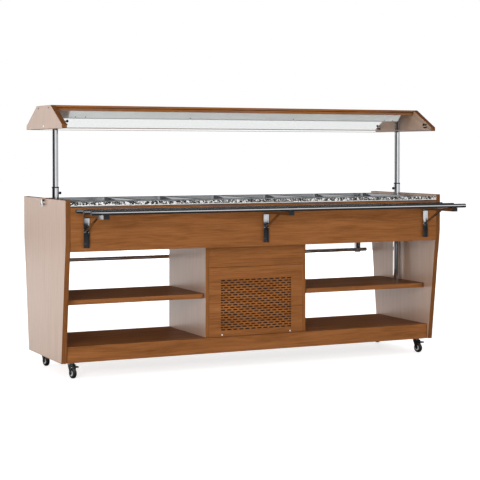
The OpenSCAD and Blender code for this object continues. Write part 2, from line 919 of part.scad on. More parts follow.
module fork_leg() {
    foot_r = 8;
    fork_rear = 13;
    fork_front = 20;
    along_y(fork_in / 2, fork_t) {
        polygon([[-fork_rear, fork_top], [fork_front, fork_top],
            [caster_trail + foot_r, axle_z], [caster_trail - foot_r, axle_z]]);
        translate([caster_trail, axle_z]) circle(foot_r);
    }
}

// Fork of a caster; a braked one also holds the pin of its pedal.
module caster_fork(index) {
    fork_w = fork_in + 2 * fork_t;
    color("dimgray") at_caster(index) {
        difference() {
            union() {
                front_and_rear() fork_leg();
                translate([0, 0, fork_top - fork_disc_t]) cylinder(h = fork_disc_t, d = fork_w + 4);
            }
            translate([0, 0, fork_top - 10]) cylinder(h = 20, d = king_d + 2 * running);
        }
        translate([caster_trail, fork_w / 2 + 2, axle_z]) rotate([90, 0, 0])
            cylinder(h = fork_w + 4, d = axle_d);
        if (index <= braked) translate([pedal_x, fork_w / 2, pedal_z]) rotate([90, 0, 0])
            cylinder(h = fork_w, d = pedal_pin_d);
    }
}

module caster_wheel(index) {
    edge_r = 4;
    tyre_r = hub_d / 2 + running;
    color("black") at_caster(index) translate([caster_trail, 0, axle_z]) rotate([90, 0, 0]) {
        rotate_extrude() {
            translate([tyre_r, -wheel_w / 2]) square([wheel_d / 2 - edge_r - tyre_r, wheel_w]);
            translate([tyre_r, -wheel_w / 2 + edge_r]) square([wheel_d / 2 - tyre_r, wheel_w - 2 * edge_r]);
            for (s = [-1, 1]) translate([wheel_d / 2 - edge_r, s * (wheel_w / 2 - edge_r)]) circle(edge_r);
        }
        difference() {
            translate([0, 0, -wheel_w / 2 - 1]) cylinder(h = wheel_w + 2, d = hub_d);
            translate([0, 0, -wheel_w]) cylinder(h = 2 * wheel_w, d = axle_d + 2 * running);
            for (s = [-1, 1]) translate([0, 0, s * (wheel_w / 2 + 1)]) difference() {
                cylinder(h = 5, d = hub_d - 6, center = true);
                cylinder(h = 7, d = axle_d + 6, center = true);
            }
        }
    }
}

module brake_pedal(index) {
    pad_from = 30;
    pad_to = 50;
    pad_w = 28;
    barrel_d = 9;
    lever_y = (fork_in - 8) / 2;
    color("black") at_caster(index) difference() {
        union() {
            translate([pedal_x, 0, pedal_z]) rotate([90, 0, 0])
                cylinder(h = fork_in - 4, d = barrel_d, center = true);
            block([pedal_x, -lever_y, pedal_z - 1], [pad_from + 1, lever_y, pedal_z - 1 + pedal_t]);
            block([pad_from, -pad_w / 2, pedal_z - 3], [pad_to, pad_w / 2, pedal_z + 4]);
        }
        translate([pedal_x, 0, pedal_z]) rotate([90, 0, 0])
            cylinder(h = 2 * fork_in, d = pedal_pin_d + 2 * running, center = true);
    }
}

// ---------- cooling unit ----------

module compressor() {
    round_r = 30;
    feet = 12;
    plate_t = 4;
    pipe_out = 24;
    suction_d = 10;
    discharge_d = 8;
    mount_d = 20;
    r = compressor_d / 2;
    color("black") translate([compressor_x, compressor_y, deck_top + feet]) {
        translate([-r - 10, -r + 10, 0]) cube([2 * r + 20, 2 * r - 20, plate_t]);
        translate([0, 0, plate_t]) rotate_extrude() {
            square([r - round_r, compressor_h]);
            translate([0, round_r]) square([r, compressor_h - 2 * round_r]);
            for (z = [round_r, compressor_h - round_r]) translate([r - round_r, z]) intersection() {
                circle(round_r);
                translate([0, -round_r]) square([round_r, 2 * round_r]);
            }
        }
        for (x = [-1, 1], y = [-1, 1]) translate([x * (r - 5), y * (r - 23), -feet])
            cylinder(h = feet, d = mount_d);
        translate([0, 0, compressor_h - 50]) rod_x(-r - pipe_out, r, suction_d);
        translate([0, 24, compressor_h - 80]) rod_x(-r - pipe_out, r, discharge_d);
    }
}

// Finned block on two feet, with a fan ring and a motor on a cross bar behind it.
module condenser() {
    s = condenser_s;
    fin_t = 1;
    ring_t = 3;
    rows = 6;
    strap_w = 20;
    strap_y = motor_y + 16;
    side_t = 4;
    coil_d = 10;
    low = fan_axis_z - s / 2;
    ring_y = condenser_y + condenser_t;
    color("dimgray") {
        for (i = [0 : condenser_fins - 1])
            translate([condenser_x - s / 2 + i * (s - fin_t) / (condenser_fins - 1), condenser_y, low])
                cube([fin_t, condenser_t, s]);
        for (i = [0 : rows - 1])
            translate([condenser_x, condenser_y + condenser_t / 2, low + (i + 0.5) * s / rows])
                rod_x(-s / 2 - 2 * side_t, s + 4 * side_t, coil_d);
        for (x = [-1, 1])
            translate([condenser_x + x * (s / 2 + side_t) - side_t / 2, condenser_y, deck_top])
                cube([side_t, condenser_t + ring_t, low - deck_top + s]);
        difference() {
            translate([condenser_x - s / 2 - 1.5 * side_t, ring_y, low]) cube([s + 3 * side_t, ring_t, s]);
            translate([condenser_x, ring_y - 1, fan_axis_z]) rotate([-90, 0, 0])
                cylinder(h = ring_t + 2, d = fan_d + 10);
        }
        difference() {
            union() {
                translate([condenser_x, motor_y, fan_axis_z]) rotate([-90, 0, 0])
                    cylinder(h = motor_l, d = motor_d);
                translate([condenser_x - s / 2 - 1.5 * side_t, strap_y, fan_axis_z - strap_w / 2])
                    cube([s + 3 * side_t, ring_t, strap_w]);
                for (x = [-1, 1])
                    translate([condenser_x + x * (s / 2 + side_t) - side_t / 2, ring_y,
                        fan_axis_z - strap_w / 2]) cube([side_t, strap_y + ring_t - ring_y, strap_w]);
            }
            translate([condenser_x, motor_y - 1, fan_axis_z]) rotate([-90, 0, 0])
                cylinder(h = shaft_l, d = shaft_d + 2 * running);
        }
    }
}

module fan_rotor() {
    blades = 5;
    hub = 44;
    pitch_angle = 28;
    blade_t = 2;
    blade_w = 44;
    blade_r = fan_d / 2;
    color("gray") translate([condenser_x, fan_y, fan_axis_z]) rotate([-90, 0, 0]) {
        cylinder(h = fan_hub_l, d = hub);
        translate([0, 0, fan_hub_l]) cylinder(h = shaft_l, d = shaft_d);
        for (i = [0 : blades - 1]) rotate(i * 360 / blades) translate([hub / 2 - 3, 0, fan_hub_l / 2])
            rotate([pitch_angle, 0, 0]) translate([0, -blade_w / 2, -blade_t / 2])
                cube([blade_r - hub / 2 - 4, blade_w, blade_t]);
    }
}

// Runs of tube along the well floor, joined by half-round bends in soldered sleeves.
module evaporator() {
    runs = 6;
    run_pitch = well_d / (runs + 1);
    sleeve_l = 14;
    sleeve_d = evaporator_d + 2;
    end_x = well_l / 2 - 60;
    color("goldenrod") translate([0, 0, well_floor + fit + sleeve_d / 2]) {
        for (i = [0 : runs - 1]) translate([0, (i - (runs - 1) / 2) * run_pitch, 0]) {
            rod_x(-end_x, 2 * end_x, evaporator_d);
            rod_x(-end_x, sleeve_l, sleeve_d);
            rod_x(end_x - sleeve_l, sleeve_l, sleeve_d);
        }
        for (i = [0 : runs - 2])
            translate([(i % 2 == 0 ? 1 : -1) * end_x, (i - (runs - 2) / 2) * run_pitch, 0])
                rotate(i % 2 == 0 ? -90 : 90) rotate_extrude(angle = 180) translate([run_pitch / 2, 0])
                    circle(d = evaporator_d);
    }
}

module control_unit() {
    plate = 3;
    box_w = control_w - 20;
    box_h = control_h - 12;
    inlet_x = control_x - 46;
    inlet_w = 28;
    inlet_h = 20;
    pin_pitch = 7;
    display_w = 40;
    display_h = 28;
    recess = 20;
    color("dimgray") difference() {
        union() {
            translate([control_x - control_w / 2, cabinet_y, control_z - control_h / 2])
                cube([control_w, plate, control_h]);
            translate([control_x - box_w / 2, cabinet_y - control_depth, control_z - box_h / 2])
                cube([box_w, control_depth, box_h]);
        }
        translate([inlet_x - inlet_w / 2, cabinet_y - recess, control_z - inlet_h / 2])
            cube([inlet_w, recess + plate + 1, inlet_h]);
        translate([control_x - display_w / 2, cabinet_y + plate - 1, control_z - display_h / 2])
            cube([display_w, 2, display_h]);
        translate([rocker_x - rocker_w / 2 - fit, cabinet_y - recess, control_z - rocker_h / 2 - 1])
            cube([rocker_w + 2 * fit, recess + plate + 1, rocker_h + 2]);
    }
    color("silver") for (i = [-1 : 1])
        translate([inlet_x + i * pin_pitch - 1, cabinet_y - recess, control_z - (i == 0 ? 0 : 5)])
            cube([2, recess - 2, 5]);
    color("dimgray") translate([rocker_x - rocker_w / 2 - 2, rocker_axis_y, control_z])
        rod_x(0, rocker_w + 4, rocker_pin_d);
}

// Rocker on its pin, drawn with its lower half pressed in.
module rocker_switch() {
    tilt = 8;
    deep = 9;
    half_h = rocker_h / 2 - 2;
    out = 8;
    waist = 6;
    color("black") translate([rocker_x - rocker_w / 2, rocker_axis_y, control_z]) rotate([tilt, 0, 0])
        difference() {
            rotate([90, 0, 90]) linear_extrude(rocker_w)
                polygon([[-deep, -waist], [2, -half_h], [out, -half_h], [out - 2, 0],
                    [out, half_h], [2, half_h], [-deep, waist]]);
            rod_x(-1, rocker_w + 2, rocker_pin_d + 2 * running);
        }
}

end_panel_left();
end_panel_right();
fascia_front();
fascia_rear();
worktop();
well();
well_jacket();
deck_boards();
plinths();
mid_shelves();
partitions();
upper_panel_front();
service_panel_front();
upper_panel_rear();
service_panel_rear();
panel_fasteners();
post_guides();
post_collars();
post_bushes();
thumb_knob_left();
thumb_knob_right();
canopy_cap_left();
canopy_cap_right();
canopy_roof();
light_housing();
lamp_tube();
glass_front();
glass_rear();
canopy_fittings();
canopy_posts();
pan(1);  // pan_1
pan(2);  // pan_2
pan(3);  // pan_3
pan(4);  // pan_4
pan(5);  // pan_5
pan(6);  // pan_6
front_slide_tubes();
front_slide_arms();
front_slide_struts();
rear_slide_tubes();
rear_slide_arms();
rear_slide_struts();
slide_brackets();
caster_plates();
caster_fork(1);  // caster_fork_1
caster_fork(2);  // caster_fork_2
caster_fork(3);  // caster_fork_3
caster_fork(4);  // caster_fork_4
caster_wheel(1);  // caster_wheel_1
caster_wheel(2);  // caster_wheel_2
caster_wheel(3);  // caster_wheel_3
caster_wheel(4);  // caster_wheel_4
brake_pedal(1);  // brake_pedal_1
brake_pedal(2);  // brake_pedal_2
compressor();
condenser();
fan_rotor();
evaporator();
control_unit();
rocker_switch();
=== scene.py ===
import math

import bmesh
import bpy
from bpy.props import FloatProperty, FloatVectorProperty, IntProperty, PointerProperty
from mathutils import Matrix, Vector


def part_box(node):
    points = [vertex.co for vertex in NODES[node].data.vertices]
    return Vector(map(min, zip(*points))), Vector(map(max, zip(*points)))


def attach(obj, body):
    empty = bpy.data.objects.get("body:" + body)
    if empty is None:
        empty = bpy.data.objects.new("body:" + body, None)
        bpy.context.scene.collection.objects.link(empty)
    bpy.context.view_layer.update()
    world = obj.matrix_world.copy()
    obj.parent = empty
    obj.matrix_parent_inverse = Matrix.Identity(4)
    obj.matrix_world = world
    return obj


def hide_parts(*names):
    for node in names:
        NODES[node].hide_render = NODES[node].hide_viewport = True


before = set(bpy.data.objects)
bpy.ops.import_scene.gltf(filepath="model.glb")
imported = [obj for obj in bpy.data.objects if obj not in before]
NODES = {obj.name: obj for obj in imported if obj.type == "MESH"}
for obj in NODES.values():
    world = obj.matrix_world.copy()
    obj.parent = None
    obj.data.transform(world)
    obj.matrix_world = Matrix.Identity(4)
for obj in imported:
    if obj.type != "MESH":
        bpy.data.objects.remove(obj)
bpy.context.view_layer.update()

bl_info = {
    "name": "Mobile Salad Bar",
    "version": (1, 0, 0),
    "blender": (4, 5, 0),
    "location": "View3D > Sidebar > Salad Bar",
    "description": "Dresses the salad bar's frame with timber, stone, steel and glass",
    "category": "Object",
}

MM = 0.001


def srgb(red, green, blue):
    """Linear colour from 0 to 255 display values."""
    def one(value):
        c = value / 255
        return c / 12.92 if c <= 0.04045 else ((c + 0.055) / 1.055) ** 2.4
    return (one(red), one(green), one(blue))


def colour(name, description, red, green, blue):
    return FloatVectorProperty(
        name=name, description=description, subtype="COLOR", size=3, min=0, max=1,
        default=srgb(red, green, blue))


def length(name, description, millimetres):
    return FloatProperty(
        name=name, description=description, default=millimetres * MM, min=0,
        subtype="DISTANCE", unit="LENGTH")


def power(name, description, watts):
    return FloatProperty(name=name, description=description, default=watts, unit="POWER")


class SaladBarFinishes(bpy.types.PropertyGroup):
    """Colours of the salad bar."""
    timber_light: colour("Light timber", "Light streaks of the brown boards", 169, 110, 64)
    timber_dark: colour("Dark timber", "Dark streaks of the brown boards", 108, 65, 33)
    laminate_light: colour("Light laminate", "Light streaks of the pale panel faces", 184, 152, 131)
    laminate_dark: colour("Dark laminate", "Dark streaks of the pale panel faces", 168, 136, 115)
    stone_dark: colour("Dark stone", "Dark grains of the worktop", 20, 20, 22)
    stone_grey: colour("Grey stone", "Grey grains of the worktop", 120, 120, 121)
    stone_white: colour("White stone", "White grains of the worktop", 246, 245, 242)
    steel: colour("Steel", "Brushed sheet of the well", 178, 181, 184)
    # The pans' steel is darker than the well's: painted shade.
    pan_steel: colour("Shaded pan steel", "Drawn sheet of the pans, darkened as painted shade", 150, 152, 155)
    chrome: colour("Chrome", "Polished tubes and brackets", 226, 228, 231)
    plastic: colour("Plastic", "Black moulded parts", 26, 26, 28)
    hub: colour("Hub", "Pale wheel hubs", 205, 205, 203)
    paint: colour("Paint", "Dark painted parts", 42, 43, 46)
    housing: colour("Housing", "Light housing of the canopy", 243, 243, 243)
    copper: colour("Copper", "Pipes of the cooling unit", 190, 116, 78)


class SaladBarSizes(bpy.types.PropertyGroup):
    """Sizes of the details that the frame doesn't hold."""
    board_round: length("Board edge", "Rounding of the board edges", 1.2)
    sheet: length("Pan sheet", "Thickness of the pan sheet", 1.2)
    pan_fillet: length("Pan fillet", "Radius between a pan's walls and floor", 14)
    screw_head: length("Screw head", "Diameter of the panel screws", 8)
    recess: length("Screw recess", "Width of the cross in a screw", 1.3)
    # Height of the worktop's pale band, a painted highlight.
    highlight_band: length("Painted edge highlight", "Height of the painted highlight band at the foot of the worktop's edge", 4)
    fin_pitch: length("Fin pitch", "Distance between the condenser's fine fins", 2.083)
    hub_ribs: IntProperty(name="Hub ribs", description="Ribs on each side of a wheel hub", default=6, min=3)
    knob_lobes: IntProperty(name="Knob lobes", description="Lobes of a thumb knob", default=6, min=3)


class SaladBarStudio(bpy.types.PropertyGroup):
    """Camera and lamps."""
    lens: FloatProperty(
        name="Lens", description="Focal length on a 36 mm sensor", default=101.755, unit="CAMERA")
    eye: FloatVectorProperty(
        name="Camera place", description="Where the camera stands", default=(-3.2104, -6.7435, 1.1485),
        subtype="TRANSLATION", unit="LENGTH")
    heading: FloatProperty(
        name="Heading", description="Turn of the camera from +Y towards +X", default=math.radians(25.61),
        subtype="ANGLE")
    tilt: FloatProperty(
        name="Tilt", description="Tilt of the camera above the horizon", default=math.radians(-1.748),
        subtype="ANGLE")
    shift: FloatProperty(name="Shift", description="Vertical shift of the lens", default=-0.10)
    front: power("Front lamp", "Power of the lamp at the front left", 322)
    left: power("Left lamp", "Power of the lamp at the left", 150)
    right: power("Right lamp", "Power of the lamp at the front right", 130)
    rear: power("Rear lamp", "Power of the lamp at the rear right", 200)
    sky: FloatProperty(
        name="Sky", description="Strength of the light from overhead", default=0.6, min=0)
    horizon: FloatProperty(
        name="Horizon", description="Strength of the light from the sides", default=0.16, min=0)
    mirrored: FloatProperty(
        name="Mirrored room", description="Strength of the room that mirrors see", default=0.045, min=0)


# ---------- node trees ----------

def put(tree, kind, inputs=None, **settings):
    """A node with its settings and its inputs, each a value or another node's socket."""
    node = tree.nodes.new(kind)
    for key, value in settings.items():
        setattr(node, key, value)
    for key, value in (inputs or {}).items():
        socket = node.inputs[key]
        if isinstance(value, bpy.types.NodeSocket):
            tree.links.new(value, socket)
        else:
            socket.default_value = value
    return node


def maths(tree, operation, a, b=0.0):
    return put(tree, "ShaderNodeMath", {0: a, 1: b}, operation=operation).outputs[0]


def weighted(tree, a, share, b):
    """A share of a, and the rest of b."""
    return maths(tree, "ADD", maths(tree, "MULTIPLY", a, share), maths(tree, "MULTIPLY", b, 1 - share))


def vector_maths(tree, operation, a, b):
    return put(tree, "ShaderNodeVectorMath", {0: a, 1: b}, operation=operation).outputs[0]


def scaled(tree, vector, factor):
    return put(tree, "ShaderNodeVectorMath", {0: vector, "Scale": factor}, operation="SCALE").outputs[0]


def combined(tree, x=0.0, y=0.0, z=0.0):
    """A vector made of three values."""
    return put(tree, "ShaderNodeCombineXYZ", {0: x, 1: y, 2: z}).outputs[0]


def axes(tree, vector):
    """The X, Y and Z of a vector."""
    return put(tree, "ShaderNodeSeparateXYZ", {0: vector}).outputs


def blend_colours(tree, factor, a, b):
    node = put(tree, "ShaderNodeMix", {0: factor}, data_type="RGBA")
    for index, value in ((6, a), (7, b)):
        if isinstance(value, bpy.types.NodeSocket):
            tree.links.new(value, node.inputs[index])
        else:
            node.inputs[index].default_value = (*value, 1)
    return node.outputs[2]


def span(tree, value, low, high, to_low=0.0, to_high=1.0):
    """value moved from low..high to to_low..to_high, and clamped."""
    return put(tree, "ShaderNodeMapRange", {0: value, 1: low, 2: high, 3: to_low, 4: to_high}).outputs[0]


def shader_group(name, inputs, outputs):
    """A new shader group and its two end nodes; inputs and outputs are (name, socket type, default)."""
    tree = bpy.data.node_groups.new(name, "ShaderNodeTree")
    for in_out, sockets in (("INPUT", inputs), ("OUTPUT", outputs)):
        for label, kind, default in sockets:
            socket = tree.interface.new_socket(name=label, in_out=in_out, socket_type=kind)
            if default is not None:
                socket.default_value = default
    return tree, tree.nodes.new("NodeGroupInput"), tree.nodes.new("NodeGroupOutput")


def stretched(tree, vector, along, across):
    """The vector in units of along on X and of across on Y and Z."""
    inverse = [maths(tree, "DIVIDE", 1.0, size) for size in (along, across, across)]
    return vector_maths(tree, "MULTIPLY", vector, combined(tree, *inverse))


def noise(tree, vector, scale=1.0, detail=3.0, roughness=0.5, distortion=0.0):
    return put(tree, "ShaderNodeTexNoise", {
        "Vector": vector, "Scale": scale, "Detail": detail, "Roughness": roughness, "Distortion": distortion,
    }).outputs[0]


def grain_group():
    """Timber grain that runs along X: tone, pores and height."""
    tree, start, end = shader_group(
        "Timber grain",
        [("Vector", "NodeSocketVector", None), ("Streak length", "NodeSocketFloat", 0.5),
         ("Streak width", "NodeSocketFloat", 0.006), ("Figure", "NodeSocketFloat", 0.012)],
        [("Tone", "NodeSocketFloat", None), ("Pores", "NodeSocketFloat", None),
         ("Height", "NodeSocketFloat", None)])
    place, long, wide, figure = (start.outputs[i] for i in range(4))
    drift_length, drift_width = 0.35, 0.09
    pore_length, pore_width = 0.014, 0.0006
    drift = put(tree, "ShaderNodeTexNoise", {
        "Vector": stretched(tree, place, drift_length, drift_width), "Scale": 1.0, "Detail": 1.0})
    centred = vector_maths(tree, "SUBTRACT", drift.outputs["Color"], (0.5, 0.5, 0.5))
    place = vector_maths(tree, "ADD", place, scaled(tree, centred, figure))

    def streaks(length_share, width_share, detail, roughness=0.5):
        """Noise in streaks, each a share of the streak's length and width."""
        along = maths(tree, "MULTIPLY", long, length_share)
        across = maths(tree, "MULTIPLY", wide, width_share)
        return noise(tree, stretched(tree, place, along, across), detail=detail, roughness=roughness)

    broad = span(tree, streaks(1.0, 5.0, 2.0), 0.3, 0.7)
    narrow = span(tree, streaks(0.35, 1.0, 4.0, 0.62), 0.28, 0.72)
    fine = streaks(0.12, 0.2, 2.0)
    pores = span(tree, noise(tree, stretched(tree, place, pore_length, pore_width), detail=1.0), 0.66, 0.74)
    tree.links.new(weighted(tree, weighted(tree, broad, 0.4, narrow), 0.85, fine), end.inputs["Tone"])
    tree.links.new(pores, end.inputs["Pores"])
    tree.links.new(maths(tree, "SUBTRACT", maths(tree, "MULTIPLY", fine, 0.5), pores), end.inputs["Height"])
    return tree


def brush_group():
    """Fine brush marks along X: tone and height."""
    tree, start, end = shader_group(
        "Brush marks",
        [("Vector", "NodeSocketVector", None), ("Mark length", "NodeSocketFloat", 0.08),
         ("Mark width", "NodeSocketFloat", 0.0006)],
        [("Tone", "NodeSocketFloat", None), ("Height", "NodeSocketFloat", None)])
    place, length_m, width_m = (start.outputs[i] for i in range(3))
    marks = noise(tree, stretched(tree, place, length_m, width_m), detail=3.0, roughness=0.6)
    cloud = noise(tree, place, scale=6.0, detail=2.0)
    tree.links.new(weighted(tree, marks, 0.7, cloud), end.inputs["Tone"])
    tree.links.new(marks, end.inputs["Height"])
    return tree


def smudge_group():
    """Faint handling marks: a mask for roughness."""
    tree, start, end = shader_group(
        "Handling marks",
        [("Vector", "NodeSocketVector", None), ("Size", "NodeSocketFloat", 0.04),
         ("Low", "NodeSocketFloat", 0.1), ("High", "NodeSocketFloat", 0.2)],
        [("Roughness", "NodeSocketFloat", None)])
    place, size, low, high = (start.outputs[i] for i in range(4))
    place = scaled(tree, place, maths(tree, "DIVIDE", 1.0, size))
    cloud = noise(tree, place, detail=4.0, roughness=0.6, distortion=0.6)
    tree.links.new(span(tree, cloud, 0.35, 0.7, low, high), end.inputs["Roughness"])
    return tree


def dust_group():
    """Dust that gathers on faces that look up: a mask."""
    tree, start, end = shader_group(
        "Settled dust",
        [("Vector", "NodeSocketVector", None), ("Amount", "NodeSocketFloat", 0.2)],
        [("Mask", "NodeSocketFloat", None)])
    place, amount = (start.outputs[i] for i in range(2))
    up = axes(tree, put(tree, "ShaderNodeNewGeometry").outputs["Normal"])[2]
    cloud = span(tree, noise(tree, place, scale=55.0, detail=5.0, roughness=0.65), 0.35, 0.7)
    mask = maths(tree, "MULTIPLY", span(tree, up, 0.1, 0.9), cloud)
    tree.links.new(maths(tree, "MULTIPLY", mask, amount), end.inputs["Mask"])
    return tree


def speckle_group():
    """Polished stone of dark, grey and white grains: colour and grain height."""
    tree, start, end = shader_group(
        "Stone speckle",
        [("Vector", "NodeSocketVector", None), ("Grain", "NodeSocketFloat", 0.005),
         ("Dark", "NodeSocketColor", (0.01, 0.01, 0.01, 1)), ("Grey", "NodeSocketColor", (0.2, 0.2, 0.2, 1)),
         ("White", "NodeSocketColor", (0.8, 0.8, 0.8, 1))],
        [("Color", "NodeSocketColor", None), ("Height", "NodeSocketFloat", None)])
    place, grain, dark, grey, white = (start.outputs[i] for i in range(5))
    warp_scale, warp_depth = 260.0, 0.004
    warp = put(tree, "ShaderNodeTexNoise", {"Vector": place, "Scale": warp_scale, "Detail": 2.0})
    place = vector_maths(tree, "ADD", place, scaled(tree, warp.outputs["Color"], warp_depth))

    def cells(fineness):
        """Grains, so many times finer: three random values each, and the distance from their middles."""
        scale = maths(tree, "DIVIDE", fineness, grain)
        node = put(tree, "ShaderNodeTexVoronoi", {"Vector": place, "Scale": scale})
        values = put(tree, "ShaderNodeSeparateColor", {0: node.outputs["Color"]}).outputs
        return values, node.outputs["Distance"]

    big, distance = cells(1.0)
    small, _ = cells(2.4)
    patch = noise(tree, place, scale=34.0, detail=2.0)
    lean = maths(tree, "MULTIPLY", maths(tree, "SUBTRACT", patch, 0.5), 0.9)
    pick = maths(tree, "ADD", big[0], lean)
    grains = blend_colours(tree, span(tree, pick, 0.48, 0.52), dark, grey)
    grains = blend_colours(tree, span(tree, pick, 0.74, 0.78), grains, white)
    fleck = maths(tree, "GREATER_THAN", small[1], 0.86)
    grains = blend_colours(tree, maths(tree, "MULTIPLY", fleck, 0.8), grains, white)
    speck = maths(tree, "LESS_THAN", small[2], 0.16)
    grains = blend_colours(tree, maths(tree, "MULTIPLY", speck, 0.85), grains, dark)
    tree.links.new(grains, end.inputs["Color"])
    tree.links.new(distance, end.inputs["Height"])
    return tree


GROUPS = {}


def effect(tree, name, inputs):
    """Places a shared effect in a material; each group is built once."""
    makers = {"grain": grain_group, "brush": brush_group, "smudge": smudge_group, "dust": dust_group,
              "speckle": speckle_group}
    if name not in GROUPS:
        GROUPS[name] = makers[name]()
    node = tree.nodes.new("ShaderNodeGroup")
    node.node_tree = GROUPS[name]
    for key, value in inputs.items():
        if isinstance(value, bpy.types.NodeSocket):
            tree.links.new(value, node.inputs[key])
        else:
            node.inputs[key].default_value = value
    return node.outputs


class Finish:
    """A material with one Principled shader, and its place on the object."""

    def __init__(self, name, **values):
        self.material = bpy.data.materials.new(name)
        self.material.use_nodes = True
        self.tree = self.material.node_tree
        self.shader = self.tree.nodes["Principled BSDF"]
        self.output = self.tree.nodes["Material Output"]
        self.place = put(self.tree, "ShaderNodeTexCoord").outputs["Object"]
        for key, value in values.items():
            self.set(key.replace("_", " ").title().replace("Ior", "IOR"), value)

    def set(self, label, value):
        socket = self.shader.inputs[label]
        if isinstance(value, bpy.types.NodeSocket):
            self.tree.links.new(value, socket)
        elif socket.type == "RGBA":
            socket.default_value = (*value, 1)
        else:
            socket.default_value = value

    def bump(self, height, distance):
        node = put(self.tree, "ShaderNodeBump", {"Height": height, "Distance": distance})
        self.set("Normal", node.outputs[0])

    def smudges(self, low, high, size=0.04):
        self.set("Roughness", effect(self.tree, "smudge", {
            "Vector": self.place, "Size": size, "Low": low, "High": high})[0])


def dimmed(colour_value, factor):
    return tuple(c * factor for c in colour_value)


def clouded(finish, colour_value, factor, scale):
    """The colour, dimmed by the factor in soft patches."""
    cloud = span(finish.tree, noise(finish.tree, finish.place, scale=scale, detail=3.0), 0.3, 0.7)
    return blend_colours(finish.tree, cloud, dimmed(colour_value, factor), colour_value)


def dusted(finish, base, amount, dust_colour):
    mask = effect(finish.tree, "dust", {"Vector": finish.place, "Amount": amount})[0]
    return blend_colours(finish.tree, mask, base, dust_colour)


def turned(tree, place, order):
    """The place with its axes in another order, such as ZYX."""
    parts = axes(tree, place)
    return combined(tree, *(parts["XYZ".index(axis)] for axis in order))


def timber(name, order, light, dark, length_m=0.5, width_m=0.007, figure=0.03, coat=0.0, shine=0.02):
    finish = Finish(name, roughness=0.42, coat_weight=coat, coat_roughness=0.25, specular_ior_level=shine)
    tree = finish.tree
    place = turned(tree, finish.place, order)
    tone, pores, height = effect(tree, "grain", {
        "Vector": place, "Streak length": length_m, "Streak width": width_m, "Figure": figure})
    base = blend_colours(tree, tone, dark, light)
    base = blend_colours(tree, maths(tree, "MULTIPLY", pores, 0.35), base, dimmed(dark, 0.4))
    finish.set("Base Color", base)
    finish.set("Roughness", span(tree, tone, 0.0, 1.0, 0.48, 0.36))
    finish.bump(height, 0.00012)
    return finish.material


def metal(name, colour_value, low, high, order="XYZ", mark_length=0.08, mark_width=0.0006, depth=0.00001,
          contrast=0.06, metallic=1.0):
    """Brushed metal whose marks run along the first axis of order."""
    finish = Finish(name, metallic=metallic)
    tree = finish.tree
    tone, height = effect(tree, "brush", {
        "Vector": turned(tree, finish.place, order), "Mark length": mark_length, "Mark width": mark_width})
    darker = dimmed(colour_value, 1 - contrast * 2)
    finish.set("Base Color", blend_colours(tree, tone, darker, colour_value))
    finish.set("Roughness", span(tree, tone, 0.3, 0.7, low, high))
    finish.bump(height, depth)
    return finish.material


def polished(name, colour_value):
    """Polished metal with faint handling marks."""
    finish = Finish(name, metallic=1.0, base_color=colour_value)
    finish.set("Base Color", clouded(finish, colour_value, 0.9, 30.0))
    finish.smudges(0.015, 0.05)
    return finish.material


def moulded(name, colour_value, low=0.35, high=0.55, dust=0.0, texture=0.00002):
    """Moulded plastic or rubber with a fine skin texture and settled dust."""
    finish = Finish(name)
    base = clouded(finish, colour_value, 0.8, 40.0)
    if dust:
        base = dusted(finish, base, dust, (0.35, 0.33, 0.3))
    finish.set("Base Color", base)
    finish.smudges(low, high, 0.02)
    finish.bump(noise(finish.tree, finish.place, scale=2500.0, detail=1.0), texture)
    return finish.material


def painted(name, colour_value, low=0.25, high=0.4, peel=0.00003, dust=0.0):
    """Paint with a faint orange peel and settled dust."""
    finish = Finish(name, coat_weight=0.25, coat_roughness=0.2)
    base = clouded(finish, colour_value, 0.92, 12.0)
    if dust:
        base = dusted(finish, base, dust, (0.4, 0.38, 0.35))
    finish.set("Base Color", base)
    finish.smudges(low, high)
    finish.bump(noise(finish.tree, finish.place, scale=900.0, detail=1.0), peel)
    return finish.material


def stone(name, colours, highlight_to):
    """Polished stone; the lowest band of its edge is pale, a painted highlight up to the height
    highlight_to.
    """
    grain, fade = 0.0095, 0.0005
    finish = Finish(name, coat_weight=0.5, coat_roughness=0.06, specular_ior_level=0.5)
    result, height = effect(finish.tree, "speckle", {
        "Vector": finish.place, "Grain": grain, "Dark": (*colours.stone_dark, 1),
        "Grey": (*colours.stone_grey, 1), "White": (*colours.stone_white, 1)})
    # The pale band at the foot of the front edge is a painted highlight.
    highlight_band = span(finish.tree, axes(finish.tree, finish.place)[2], highlight_to, highlight_to - fade)
    finish.set("Base Color", blend_colours(finish.tree, highlight_band, result, srgb(238, 238, 236)))
    finish.smudges(0.12, 0.24)
    finish.bump(height, 0.00002)
    return finish.material


def clear_glass(name):
    """Clear glass; its low IOR keeps the panes clearer than real glass, and its shadow is faint."""
    finish = Finish(name, base_color=(0.99, 1.0, 0.996), roughness=0.0, ior=1.2, transmission_weight=1.0)
    tree = finish.tree
    see_through = put(tree, "ShaderNodeBsdfTransparent", {"Color": (0.93, 0.96, 0.95, 1)}).outputs[0]
    path = put(tree, "ShaderNodeLightPath").outputs
    mixed = put(tree, "ShaderNodeMixShader", {
        0: path["Is Shadow Ray"], 1: finish.shader.outputs[0], 2: see_through}).outputs[0]
    tree.links.new(mixed, finish.output.inputs["Surface"])
    return finish.material


def glow(name, colour_value, strength):
    """Opal lamp glass that is faintly lit."""
    finish = Finish(name, base_color=colour_value, roughness=0.35, emission_color=colour_value,
                    emission_strength=strength, coat_weight=0.4, coat_roughness=0.05)
    cloud = noise(finish.tree, finish.place, scale=8.0, detail=2.0)
    finish.set("Base Color", blend_colours(finish.tree, cloud, dimmed(colour_value, 0.94), colour_value))
    return finish.material


MATERIALS = {}


